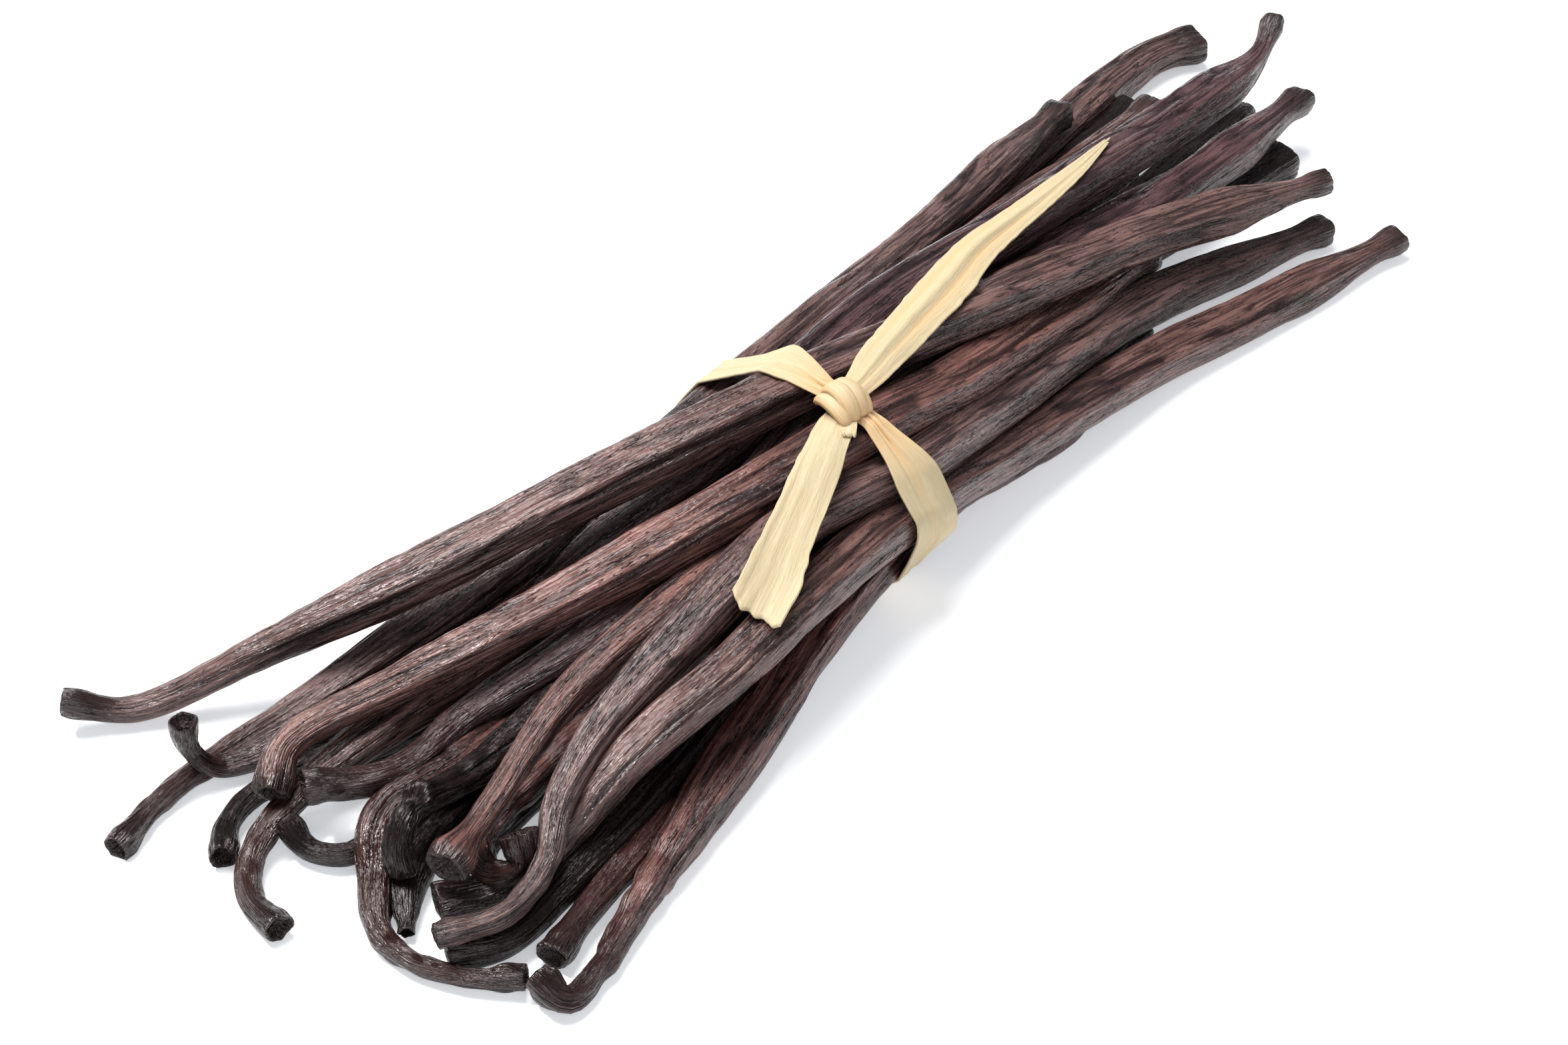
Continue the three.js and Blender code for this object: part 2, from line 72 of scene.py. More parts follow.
# Each pod also gives its colour in TONES, the width of its body, the width of its neck at
# the stem, the length over which the neck swells into the body, and the direction
# (degrees up from the +Y side) and depth of a broad groove along it.
add_pod(
    "pod_long_left", "pinkish",
    (-89, 42.2, 4.2), (-83, 37, 2.2), (-69, 28.5, 7.4), (-51, 18.5, 14.4), (-22, 7.5, 20.9),
    (0, 2, 22.6), (20, 0, 19.9), (59, -2, 13.4), (94, -9, 8.4),
    width=6.4, thick=5.2, neck=3.2, swell=55, blossom=0.45, wet=9, wrinkle=1.35,
    groove=(150, 0.5),
)
add_pod(
    "pod_foremost_knob", "grey",
    (-99, 21.2, 1.4), (-88, 23.6, 1.6), (-70, 22, 2.6), (-51, 19, 6.1), (-25, 14.5, 12.8),
    (0, 14, 15.9), (38, 20.5, 11.9), (84, 30.2, 7.4),
    width=6.0, thick=4.8, neck=2.8, swell=60, blossom=0.65, flare=0.9, wet=26,
    groove=(120, 0.4), lumps=0.2,
)
add_pod(
    "pod_upright_hook", "purplish",
    (-86, 23.5, 10.4), (-85.5, 23.5, 5.9), (-83, 22, 2.2), (-75, 19, 2.4), (-58, 15.5, 2.4),
    (-42, 13.2, 5.4), (-30, 10.8, 10.2), (-12, 7, 15.2), (0, 7.4, 17.7), (20, 9, 18.4),
    (45, 9.5, 16.9), (94, 12.5, 12.4), (109, 14, 12), (115.5, 16, 14.2),
    width=6.8, thick=5.0, neck=2.4, swell=28, blossom=0.35, flare=1.0, wet=40, dark=14,
    groove=(70, 0.35), lumps=0.15,
)
add_pod(
    "pod_broad_red", "red",
    (-84, 11, 5.9), (-79, 13.5, 8.4), (-65, 8.5, 11.9), (-50, 1.5, 16.4), (-24, -6, 20.9),
    (0, -8, 20.9), (14, -7, 17.4), (42, -3, 10.9), (66, 0, 6.4),
    width=6.8, thick=5.2, neck=4.0, swell=60, blossom=0.5, dark=4, groove=(105, 0.6),
)
add_pod(
    "pod_front_curl", "brown",
    (-95.5, -2.5, 2), (-94.5, 3, 1.8), (-90, 8, 2), (-82, 10, 3.9), (-68, 9, 6.6),
    (-35, 7, 7.9), (0, 10.2, 11.6), (40, 15.3, 10.6), (80, 20, 6.6), (96, 22, 5.6),
    width=5.8, thick=4.8, neck=2.8, swell=50, flare=0.8, wet=34, wrinkle=0.9,
    groove=(100, 0.3), lumps=0.2,
)
add_pod(
    "pod_square_end", "purplish",
    (-81.8, 7.4, 7.4), (-73, 2.2, 6.6), (-61, 2, 7.9), (-44, -3, 12.9), (-20, -2, 15),
    (0, 0.5, 17), (40, 4.5, 13.4), (80, 4.5, 8.9), (110, 6.5, 7.4),
    width=6.2, thick=5.0, neck=3.8, swell=60, blossom=0.55, wet=24, wrinkle=0.8,
    groove=(60, 0.4), lumps=0.15,
)
add_pod(
    "pod_under_curl", "black",
    (-84.6, 8, 3.4), (-84.8, 4.1, 2), (-82.6, 0.6, 1.8), (-79, 0, 1.8), (-71, 2.3, 2.3),
    (-60, 3.6, 2.6), (-30, 4, 4.4), (0, 8.5, 7), (50, 7.2, 3), (75, 5, 2.4), (102, 3.5, 2.4),
    width=5.8, neck=2.6, swell=50, blossom=0.95, wrinkle=0.8, groove=(130, 0.3),
)
add_pod(
    "pod_bent_down", "black",
    (-81.5, -8, 4.4), (-81, -7, 7.4), (-77, -5.5, 9.4), (-68, -5.5, 8.2), (-45, -4, 8.9),
    (0, 3.8, 12), (45, 9, 8.4), (75, 10.5, 3.8), (90, 12.6, 2.8), (108, 15, 2.4),
    width=6.0, thick=4.8, neck=3.3, swell=44, blossom=0.75, wrinkle=1.2, groove=(110, 0.5),
    lumps=0.2, pinch=8,
)
add_pod(
    "pod_long_loop", "loop",
    (-82.5, -28.2, 2), (-85.8, -24, 1.8), (-88.8, -17, 1.7), (-88, -11, 1.7),
    (-82.8, -4.8, 3), (-77.5, -0.8, 5), (-67, -1.5, 5.6), (-50, -1.3, 5.7), (-25, -0.8, 6),
    (0, 2, 7.2), (30, 2.3, 4.6), (58, 2.5, 2.4),
    width=5.6, neck=2.4, swell=45, wet=50, dark=10, wrinkle=0.8, groove=(90, 0.3), lumps=0.3,
)
add_pod(
    "pod_tapering_tip", "black",
    (-86, -13, 1.4), (-79.5, -7, 2), (-66, -4, 2.4), (-30, -2.2, 2.4), (0, 4, 3.4),
    (34, 6, 2.4),
    width=5.6, neck=1.0, start=-3, swell=10, flare=0, wrinkle=0.8, groove=(90, 0.3),
)
add_pod(
    "pod_dark_blunt", "black",
    (-85.5, -19.5, 2.2), (-80, -22.8, 2.4), (-71, -22, 3), (-45, -18, 4.9), (0, -9.8, 10.6),
    (20, -10, 7.6), (43, -7.5, 3.8), (56, -6.2, 2.3),
    width=6.2, neck=4.2, swell=34, blossom=0.65, wrinkle=0.9, groove=(120, 0.5),
)
add_pod(
    "pod_big_hook", "grey",
    (-86.5, -19, 5.4), (-79.5, -22.5, 5.9), (-72.3, -21.5, 7.4), (-66.5, -18, 9.9),
    (-58, -15.5, 12.9), (-41, -14, 16.9), (-20, -12, 18.7), (0, -13.2, 16.9),
    (21, -10, 12.2), (38, -7.6, 9), (60, -6.2, 5.6), (78, -8, 3), (92, -11, 2.4),
    width=6.2, thick=5.0, neck=2.7, swell=64, blossom=0.6, dark=2, wrinkle=0.55,
    groove=(140, 0.25), lumps=0.12,
)
add_pod(
    "pod_flared_red", "red",
    (-81, -15, 9.4), (-72.5, -12.9, 10.4), (-55.6, -9, 13.9), (-38, -9, 16.4),
    (-18, -8.5, 16.4), (0, -6, 15.2), (30, 0, 10.9), (62, 1.5, 5.6),
    width=5.4, thick=4.8, neck=3.1, swell=62, blossom=0.5, flare=2.4, dark=2, wrinkle=0.55,
    groove=(170, 0.3),
)
add_pod(
    "pod_rough_knob", "darkred",
    (-72, -17, 8.9), (-73, -18.7, 6.2), (-75.5, -16.5, 5), (-73, -11.5, 4.8), (-60, -9, 5.9),
    (-38, -8.5, 7.7), (0, -3.2, 10), (40, -2.5, 6.6), (66, -1.5, 2.6),
    width=5.4, thick=4.4, neck=3.2, swell=40, blossom=0.5, flare=1.2, wet=24, dark=12,
    wrinkle=0.8, groove=(60, 0.4), lumps=0.4, ragged=0.5,
)
add_pod(
    "pod_under_hook", "brown",
    (-81.5, -14, 2.8), (-74.5, -17.5, 3.2), (-66, -18.8, 6.4), (-57.5, -19, 10.4),
    (-40, -20.5, 14.9), (-20, -18.6, 15.6), (0, -15.7, 12.4), (20, -13.6, 8), (38, -13, 5.6),
    (52, -13.3, 3.8), (67, -15.2, 2.5), (97, -20, 2.4),
    width=6.2, thick=4.8, neck=4.6, swell=55, blossom=0.5, wet=26, dark=26, wrinkle=0.9,
    groove=(125, 0.4), lumps=0.2,
)
add_pod(
    "pod_tight_hook", "darkred",
    (-82, -30, 3), (-81.5, -33.7, 1.7), (-75, -33, 1.8), (-66, -30, 2.2), (-42, -23, 4.4),
    (-20, -17.2, 6.9), (0, -12.9, 6.9), (10, -11.4, 6), (23, -11.1, 3.6), (36, -11.4, 2.4),
    (47, -11, 2.2),
    width=6.4, thick=5.0, neck=2.8, swell=46, blossom=0.5, flare=1.3, wet=22, dark=16,
    groove=(145, 0.4), lumps=0.3, ragged=0.5,
)
add_pod(
    "pod_short_right", "darkred",
    (-78.1, -28.4, 2), (-72.1, -26.7, 2.2), (-48, -20.4, 2.2), (-20, -13.5, 2.4),
    (0, -9.2, 3.5), (32, -7, 2.4),
    width=6.2, neck=3.4, swell=26, wet=36, groove=(110, 0.4),
)
add_pod(
    "pod_curled_end", "black",
    (-92, 10.5, 1.8), (-88.5, 14, 1.8), (-83, 15.5, 2), (-76, 13.8, 2.2), (-60, 9.8, 2.2),
    (-46, 9.8, 2), (-30, 13, 2.8), (0, 15.4, 6.8), (45, 19, 3.9), (82, 25, 2.2),
    (98, 27, 2.4),
    width=5.8, neck=2.8, swell=40, flare=0.9, groove=(100, 0.3),
)
add_pod(
    "pod_far_left", "grey",
    (-46, 22.5, 2.8), (-25, 19.5, 6.9), (0, 17, 11.2), (45, 22.5, 6.9), (88, 32, 2.4),
    (110, 33.6, 2.8), (118, 31, 3),
    width=6.4, thick=4.8, neck=3.4, swell=50, groove=(60, 0.4),
)
add_pod(
    "pod_lowest_left", "black",
    (-30, 7.5, 2.4), (0, 10.5, 3.3), (45, 13.2, 2.4), (84, 18.5, 2),
    width=5.8, neck=3.0, swell=50, groove=(90, 0.3),
)
add_pod(
    "pod_lowest_right", "black",
    (-70, -16.5, 2.4), (-58, -15, 2.4), (-35, -8.5, 2.4), (0, -2.6, 3.3), (45, -2.8, 2.4),
    width=5.8, neck=3.2, swell=50, groove=(90, 0.3),
)
add_pod(
    "pod_lowest_middle", "black",
    (-74, -11, 2.4), (-35, -5, 2.4), (0, 1, 3.3), (45, 2, 2.4),
    width=5.8, neck=3.2, swell=40, groove=(90, 0.3),
)

# Shape shared by all pods, as in the CAD model.
TIP_FLARE = 0.9  # the smaller lip of the blossom end
FLARE_AT = 1.2
FLARE_SPREAD = 2.4
BLOSSOM_TAPER = 20
BLOSSOM_START = 3
NECK_ROUND = 0.95

# Mesh of one pod: points round it, and lengths of skin between its rings.
ROUND = 112
HOOK_LENGTH = 36
HOOK_STEP = 0.6
BODY_STEP = 1.2
FLOOR_CLEARANCE = 0.03

# Section of a pod: 2 is an ellipse, more is a flatter strap with rounder corners.
ROUNDNESS = 2.1  # of the stem end
SQUARENESS = 3.5  # of the body
ROUND_TO = 12  # lengths from the stem end between which it goes over to the body's
SQUARE_FROM = 45

# Cells of the uneven skin: how many lie round a pod, and the length of each.
WARP_CELLS = (5, 16)
SWELL_CELLS = (5, 24)
CREASE_CELLS = (8, 24)
WIDE_CELLS = (13, 10)
CLOSE_CELLS = (21, 6)
PUCKER_CELLS = (26, 1.9)
LUMP_CELLS = (10, 2.2)
TORN_CELLS = (9, 1.3)

# Heights of the uneven skin of a full-bodied pod.
FULL_HALF = 2.9  # half width of such a pod
SWELL_HEIGHT = 0.16
CREASE_DEPTH = 0.36
WIDE_DEPTH = 0.26
CLOSE_DEPTH = 0.16
PUCKER_HEIGHT = 0.03
HOLLOW_DEPTH = 0.28
FOLD_DEPTH = 0.24
FOLD_SPACING = 1.5
TORN_REACH = 1.6  # how far behind a cut its torn edge roughens the skin

# Pods that press on each other: how far apart two centre lines can be where their skins
# touch, and how many rings on either side of the nearest one are searched.
TOUCH_REACH = 9.0
TOUCH_RINGS = np.arange(-7, 8)

# End faces, as rings from the middle outwards: shares of the section, and how far out.
FACE_RINGS = (0.12, 0.35, 0.58, 0.76, 0.9, 0.98)
STEM_FACE = (-0.75, -0.7, -0.4, 0.1, 0.3, 0.2)
BLOSSOM_FACE = (0.35, 0.4, 0.35, 0.4, 0.32, 0.15)
FACE_WAVES = [(2, 0.16), (3, 0.15), (5, 0.12), (8, 0.08)]  # waves round a face, and height

# Texture coordinates on the skin: radius of the circle round it, and length of one unit.
GRAIN_RADIUS = 2.6
GRAIN_LENGTH = 3.2
GRAIN_APART = 50  # keeps the pods' patterns apart

# The imported middle, painted shade in near black: x from the tie, middle of its width, half its
# width, low and high.
CORE = [
    (-48, -4, 7, 3, 5), (-22, -1, 10, 4, 11), (0, 0, 11, 4, 17), (22, 2, 10, 4, 11),
    (48, 5, 9, 3, 6), (60, 7, 6, 3, 4),
]
CORE_SIDES = 32

# The raffia strip.
STRIP_THICK = 0.3
STRIP_GAP = 0.12
BAND_X = -3.9
BAND_WIDTH = 5.4
SLACK_WIDTH = 6.8  # on the right side, where the band is slack and lies open
BUNCHED_WIDTH = 3.0
BUNCHED_LENGTH = 9
KNOT = dict(x=-5.0, y=-6.2, width=5.8, height=3.3)

# Free ends of the strip: x and y of the middle line from the tie, and full width.
FRONT_TAIL = [
    (-5, -6.3, 3.0), (-7.6, -7.6, 4.4), (-13.2, -10.3, 5.2), (-18.9, -12.9, 5.4),
    (-25.2, -15.5, 5.9), (-30.4, -17.9, 6.6), (-35, -19.4, 6.6),
]
BACK_TAIL = [
    (-4, -5.5, 2.8), (4, -3.5, 4.6), (14, -0.8, 5.8), (25, 2.3, 6.4), (35, 5.4, 5.4),
    (44, 6.9, 4.3), (53, 8.3, 3.6), (62, 9.9, 2.5), (71, 11.9, 0.8),
]
STUB = [(-4.2, -5.8, 2.0), (-6.6, -8.6, 2.2), (-8.6, -10.6, 1.6)]

# Meshes of the strip, and the height of its lengthwise ribs.
TAIL_COLUMNS = 41
TAIL_STEP = 0.6
BAND_COLUMNS = 33
BAND_ROWS = 260
RIB_HEIGHT = 0.08
LEAF_GRAIN_WIDTH = 1.6  # texture units for each millimetre across the leaf
LEAF_GRAIN_LENGTH = 9  # millimetres along the leaf for each texture unit
BAND_CREASE = -0.1  # the lengthwise fold of the band, from -1 to 1 across it
BAND_CENTRE_Z = 11.0  # the height that the band's rows turn about
TORN_END = 28  # how far a tail's end is torn, for its share of raggedness at the edges
RAFFIA_FROM = -60  # x from the tie between which the raffia lies
RAFFIA_TO = 90

# Strands of the knot, as seen from above its middle: each arches over along Y.
# x where it starts, over the top and where it ends, its width, and its height on top.
KNOT_STRANDS = [
    dict(x=(-2.2, -1.7, -0.9), width=2.3, top=0.70),
    dict(x=(-1.0, -0.2, 0.4), width=2.6, top=1.0),
    dict(x=(0.4, 1.2, 1.4), width=2.5, top=0.95),
    dict(x=(1.5, 2.2, 1.6), width=2.0, top=0.62),
]
STRAND_ROWS = 40
STRAND_SIDES = 24
STRAND_THICK = 1.6

# ---- Curves and noise ----


def smooth_step(low, high, value):
    t = np.clip((value - low) / (high - low), 0, 1)
    return t * t * (3 - 2 * t)


def bell(away, width):
    """1 where away is 0, falling to nothing at about twice the width."""
    return np.exp(-((away / width) ** 2))


def unit(vectors):
    return vectors / np.linalg.norm(vectors, axis=-1, keepdims=True)


def even_turns(count):
    """Angles of evenly spaced points round a ring."""
    return np.arange(count) * 2 * math.pi / count


def turned_from(angles, direction):
    """How far angles are turned from a direction, between -pi and pi."""
    return np.angle(np.exp(1j * (angles - direction)))


def offsets(across, up, sides, ups):
    """Vectors that reach so far across and so far up along given axes."""
    return across[..., None] * sides + up[..., None] * ups


def smooth_curve(route):
    """Close points on a centripetal curve through the route, as the CAD model draws it."""
    steps = 40
    points = np.array(route, float)
    before = 2 * points[0] - points[1]
    after = 2 * points[-1] - points[-2]
    line = np.vstack([before, points, after])
    w = np.linspace(0, 1, steps, endpoint=False)[:, None]
    spans = []
    for a, b, c, d in zip(line, line[1:], line[2:], line[3:]):
        ab, bc, cd = (math.sqrt(np.linalg.norm(v)) for v in (b - a, c - b, d - c))
        leave = ((b - a) / ab - (c - a) / (ab + bc) + (c - b) / bc) * bc
        arrive = ((c - b) / bc - (d - b) / (bc + cd) + (d - c) / cd) * bc
        second = -3 * b + 3 * c - 2 * leave - arrive
        third = 2 * b - 2 * c + leave + arrive
        spans.append(b + leave * w + second * w**2 + third * w**3)
    return np.vstack(spans + [points[-1:]])


def distances_along(line):
    steps = np.linalg.norm(np.diff(line, axis=0), axis=1)
    return np.concatenate([[0], np.cumsum(steps)])


def points_at(line, places):
    run = distances_along(line)
    return np.column_stack([np.interp(places, run, line[:, k]) for k in range(line.shape[1])])


def cell_at(place):
    """The cell that each place lies in, and a smooth share of the way to the next."""
    lower = np.floor(place).astype(int)
    return lower, smooth_step(0, 1, place - lower)


def looked_up(table, place):
    """Values of a table at places between its entries."""
    lower, blend = cell_at(place)
    return table[lower] * (1 - blend) + table[lower + 1] * blend


def long_noise(rng, places, angles, cells_round, cell_length, wander=0.5):
    """Values in -1..1 on a pod's skin, drawn out along it, that join up round it.

    places is a column of distances, angles holds one row of angles for each place, and
    wander lets the streaks drift sideways, in cells for each cell length.
    """
    rows = int(places.max() / cell_length) + 3
    table = rng.uniform(-1, 1, (rows, cells_round))
    shift = np.cumsum(rng.uniform(-wander, wander, rows))
    lower, blend = cell_at(places / cell_length)

    def sample(index):
        left, mix = cell_at((angles / (2 * math.pi) * cells_round + shift[index]) % cells_round)
        left = left % cells_round
        right = (left + 1) % cells_round
        return table[index, left] * (1 - mix) + table[index, right] * mix

    return sample(lower) * (1 - blend) + sample(lower + 1) * blend


def line_noise(rng, places, cell_length):
    """Smooth values in -1..1 along a line."""
    table = rng.uniform(-1, 1, int(np.max(places) / cell_length) + 3)
    return looked_up(table, places / cell_length)


# ---- Pods ----


def ring_places(length):
    hook = np.arange(0, HOOK_LENGTH, HOOK_STEP)
    steps = round((length - HOOK_LENGTH) / BODY_STEP)
    return np.concatenate([hook, np.linspace(HOOK_LENGTH, length, steps + 1)])


def axes_along(centres, directions):
    """Sideways and upward axes, level at the tie and carried along without twisting."""
    start = int(np.argmin(np.abs(centres[:, 0] - TIE[0])))
    sides = np.zeros_like(centres)

    def settle(index, side):
        along = directions[index]
        sides[index] = unit(side - along * np.dot(side, along))

    settle(start, np.array([0.0, 1.0, 0.0]))
    for i in range(start + 1, len(centres)):
        settle(i, sides[i - 1])
    for i in range(start - 1, -1, -1):
        settle(i, sides[i + 1])
    return sides, np.cross(directions, sides)


def lip(height, from_end):
    return height * bell(from_end - FLARE_AT, FLARE_SPREAD)


def half_sizes(facts, places, length):
    """Half width and half thickness of the plain pod at each place, as in the CAD model."""
    swell = smooth_step(facts["start"], facts["swell"], places)
    ending = smooth_step(BLOSSOM_START, BLOSSOM_TAPER, length - places)
    tip = facts["blossom"] + (1 - facts["blossom"]) * ending
    lips = lip(facts["flare"], places) + lip(TIP_FLARE, length - places)
    sizes = []
    for neck_share, body in ((1, facts["width"]), (NECK_ROUND, facts["thick"])):
        neck = facts["neck"] * neck_share
        sizes.append((neck + (body - neck) * swell) * tip + lips)
    return np.column_stack(sizes) / 2


class Pod:
    """One pod's centre line, axes, sections and skin points."""

    def __init__(self, facts, seed):
        self.facts = facts
        self.rng = np.random.default_rng(seed)
        curve = smooth_curve(facts["route"]) + TIE
        self.length = distances_along(curve)[-1]
        self.places = ring_places(self.length)
        self.centres = points_at(curve, self.places)
        self.directions = unit(np.gradient(self.centres, self.places, axis=0))
        self.sides, self.ups = axes_along(self.centres, self.directions)
        self.bend = np.gradient(self.directions, self.places, axis=0)
        self.half = half_sizes(facts, self.places, self.length) * self.unevenness()
        self.angles = even_turns(ROUND)
        body = smooth_step(ROUND_TO, SQUARE_FROM, self.places)[:, None]
        self.power = ROUNDNESS + (SQUARENESS - ROUNDNESS) * body
        self.skin, self.outward = self.plain_skin()

    def unevenness(self):
        """Slow swelling and thinning of the body along its length."""
        wide = 1 + 0.045 * line_noise(self.rng, self.places, 14)
        thick = 1 + 0.06 * line_noise(self.rng, self.places, 11)
        return np.column_stack([wide, thick])

    def plain_skin(self):
        """Points of the smooth skin, and the directions straight out of it."""
        cosine = np.cos(self.angles)
        sine = np.sin(self.angles)
        power = self.power
        reach = (np.abs(cosine) ** power + np.abs(sine) ** power) ** (-1 / power)
        half_width, half_thick = self.half[:, :1], self.half[:, 1:]
        axes = self.sides[:, None], self.ups[:, None]
        out = offsets(half_width * reach * cosine, half_thick * reach * sine, *axes)
        normal = unit(offsets(cosine / half_width, sine / half_thick, *axes))
        return self.centres[:, None] + out, normal


def pressed_in(pod, other):
    """How far each skin point of a pod gives way to another pod: half the overlap."""
    push = np.zeros_like(pod.skin)
    apart = np.linalg.norm(pod.centres[:, None] - other.centres[None], axis=2)
    rows = np.flatnonzero(apart.min(axis=1) < TOUCH_REACH)
    if not len(rows):
        return push
    nearest = apart[rows].argmin(axis=1)
    around = np.clip(nearest[:, None] + TOUCH_RINGS, 0, len(other.centres) - 1)
    skin = pod.skin[rows]
    squared = ((skin[:, :, None] - other.centres[around][:, None]) ** 2).sum(axis=3)
    found = np.take_along_axis(around, squared.argmin(axis=2), axis=1)
    from_centre = skin - other.centres[found]
    axes = (other.directions[found], other.sides[found], other.ups[found])
    along, across, up = ((from_centre * axis).sum(axis=2) for axis in axes)
    half = other.half[found]
    power = other.power[found][..., 0]
    wide_share = np.abs(across / half[..., 0]) ** power
    high_share = np.abs(up / half[..., 1]) ** power
    share = (wide_share + high_share) ** (1 / power)
    distance = np.hypot(across, up)
    depth = distance * (1 / np.maximum(share, 0.25) - 1)
    inside = (share < 1) & (np.abs(along) < 1)
    outwards = offsets(across, up, *axes[1:]) / np.maximum(distance, 1e-6)[..., None]
    push[rows] = np.where(inside[..., None], outwards * depth[..., None] / 2, 0)
    return push


def softened(field):
    """Evens out a field on the skin, along and round the pod."""
    for _ in range(2):
        field = (np.roll(field, 1, axis=1) + 2 * field + np.roll(field, -1, axis=1)) / 4
        inner = (field[:-2] + 2 * field[1:-1] + field[2:]) / 4
        field = np.concatenate([field[:1], inner, field[-1:]])
    return field


def press_together(pods):
    """Where two pods overlap, both skins give way and meet half way."""
    pushes = []
    for pod in pods:
        push = sum(pressed_in(pod, other) for other in pods if other is not pod)
        pushes.append(softened(push))
    for pod, push in zip(pods, pushes):
        pod.skin = pod.skin + push


def crossways_folds(pod, angles):
    """Creases across the pod where a bend squeezes its inner side."""
    inner = (pod.outward * pod.bend[:, None]).sum(axis=2) * pod.half[:, :1]
    squeeze = np.clip(inner * 1.8, 0, 1)
    wave = pod.places[:, None] / FOLD_SPACING + 0.35 * np.sin(2 * angles)
    wave = wave + 0.8 * line_noise(pod.rng, pod.places, 4)[:, None]
    return -FOLD_DEPTH * squeeze * (1 - np.abs(np.sin(math.pi * wave))) ** 1.5


def pinch(pod, angles):
    """A sharp fold across the top with a swollen lip behind it, where a pod has one."""
    if pod.facts["pinch"] is None:
        return 0
    from_fold = pod.places[:, None] - pod.facts["pinch"] + 0.5 * np.sin(3 * angles)
    top = smooth_step(-0.2, 0.7, np.sin(angles))
    return top * (0.7 * bell(from_fold - 1.5, 0.9) - 0.9 * bell(from_fold, 0.7))


def valley(noise):
    """1 along the lines where a noise crosses zero, sharp there and rounded between."""
    return 1 - np.sqrt(np.minimum(np.abs(noise) * 1.9, 1))


def wrinkles(rng, places, angles):
    """Heights of irregular lengthwise wrinkles, and how deep in one each point lies (0..1), which
    sets the painted shade there.
    """
    warped = angles + 0.18 * long_noise(rng, places, angles, *WARP_CELLS)
    creases = bell(long_noise(rng, places, warped, *CREASE_CELLS), 0.2)
    wide = valley(long_noise(rng, places, warped, *WIDE_CELLS))
    close = valley(long_noise(rng, places, warped, *CLOSE_CELLS))
    puckers = long_noise(rng, places, warped, *PUCKER_CELLS, wander=0.4)
    depth = 0.55 + 0.45 * long_noise(rng, places, angles, 4, 15)
    strength = 0.65 + 0.35 * long_noise(rng, places, angles, 5, 9)
    height = 0.1 - strength * (WIDE_DEPTH * wide + CLOSE_DEPTH * close) + PUCKER_HEIGHT * puckers
    painted_wrinkle_shade = 0.75 * wide + 0.5 * close + 0.35 * depth * creases
    return height - CREASE_DEPTH * depth * creases, np.clip(painted_wrinkle_shade, 0, 1)


def hollow_top(pod):
    """The shallow valley along the flat top, deeper here and there."""
    depth = HOLLOW_DEPTH * (0.5 + 0.5 * line_noise(pod.rng, pod.places, 22))[:, None]
    body = np.clip(pod.half[:, :1] / FULL_HALF, 0, 1) ** 3
    return -depth * body * bell(turned_from(pod.angles[None], math.pi / 2), 0.5)


def main_groove(pod):
    """One deep groove along most of the pod."""
    direction, depth = pod.facts["groove"]
    groove_at = math.radians(direction) + 0.25 * line_noise(pod.rng, pod.places, 24)
    reach = smooth_step(12, 30, pod.places) * smooth_step(8, 30, pod.length - pod.places)
    reach = reach * (0.65 + 0.35 * line_noise(pod.rng, pod.places, 12))
    return -depth * reach[:, None] * bell(turned_from(pod.angles[None], groove_at[:, None]), 0.17)


def skin_relief(pod):
    """Height of the wrinkled skin over the plain one, and how deep in a wrinkle it lies, more
    along the main groove: the share of painted shade.
    """
    rng = pod.rng
    facts = pod.facts
    places = pod.places[:, None]
    twist = 0.5 * line_noise(rng, pod.places, 50) + rng.uniform(-0.004, 0.004) * pod.places
    angles = pod.angles[None] + twist[:, None]
    slender = np.clip(pod.half[:, :1] / FULL_HALF, 0.5, 1)
    relief = SWELL_HEIGHT * long_noise(rng, places, angles, *SWELL_CELLS)
    height, painted_wrinkle_shade = wrinkles(rng, places, angles)
    groove = main_groove(pod)
    relief = slender * (relief + facts["wrinkle"] * height + hollow_top(pod)) + groove
    near_stem = 1 - smooth_step(18, 40, places)
    lumps = long_noise(rng, places, angles, *LUMP_CELLS, wander=0.0)
    relief = relief + near_stem * facts["lumps"] * lumps
    relief = relief + crossways_folds(pod, angles) + pinch(pod, angles)
    near_cut = np.exp(-places / TORN_REACH) + np.exp(-(pod.length - places) / TORN_REACH)
    torn = long_noise(rng, places, pod.angles[None], *TORN_CELLS, wander=0.0)
    return relief + near_cut * facts["ragged"] * torn, np.clip(painted_wrinkle_shade - groove * 1.4, 0, 1)


def end_face(pod, index, heights, sign, skin):
    """Rings that close the pod at one end, from the rim's own shape."""
    rim = skin[index]
    middle = rim.mean(axis=0)
    direction = pod.directions[index] * sign
    phases = pod.rng.uniform(0, 6, len(FACE_WAVES))
    waves = zip(FACE_WAVES, phases)
    bumps = sum(height * np.cos(count * pod.angles + phase) for (count, height), phase in waves)
    face = []
    for share, out in zip(FACE_RINGS, heights):
        ring = middle + (rim - middle) * share
        face.append(ring + direction * (out + bumps * share * (1 - share) * 4)[:, None])
    return np.array(face)


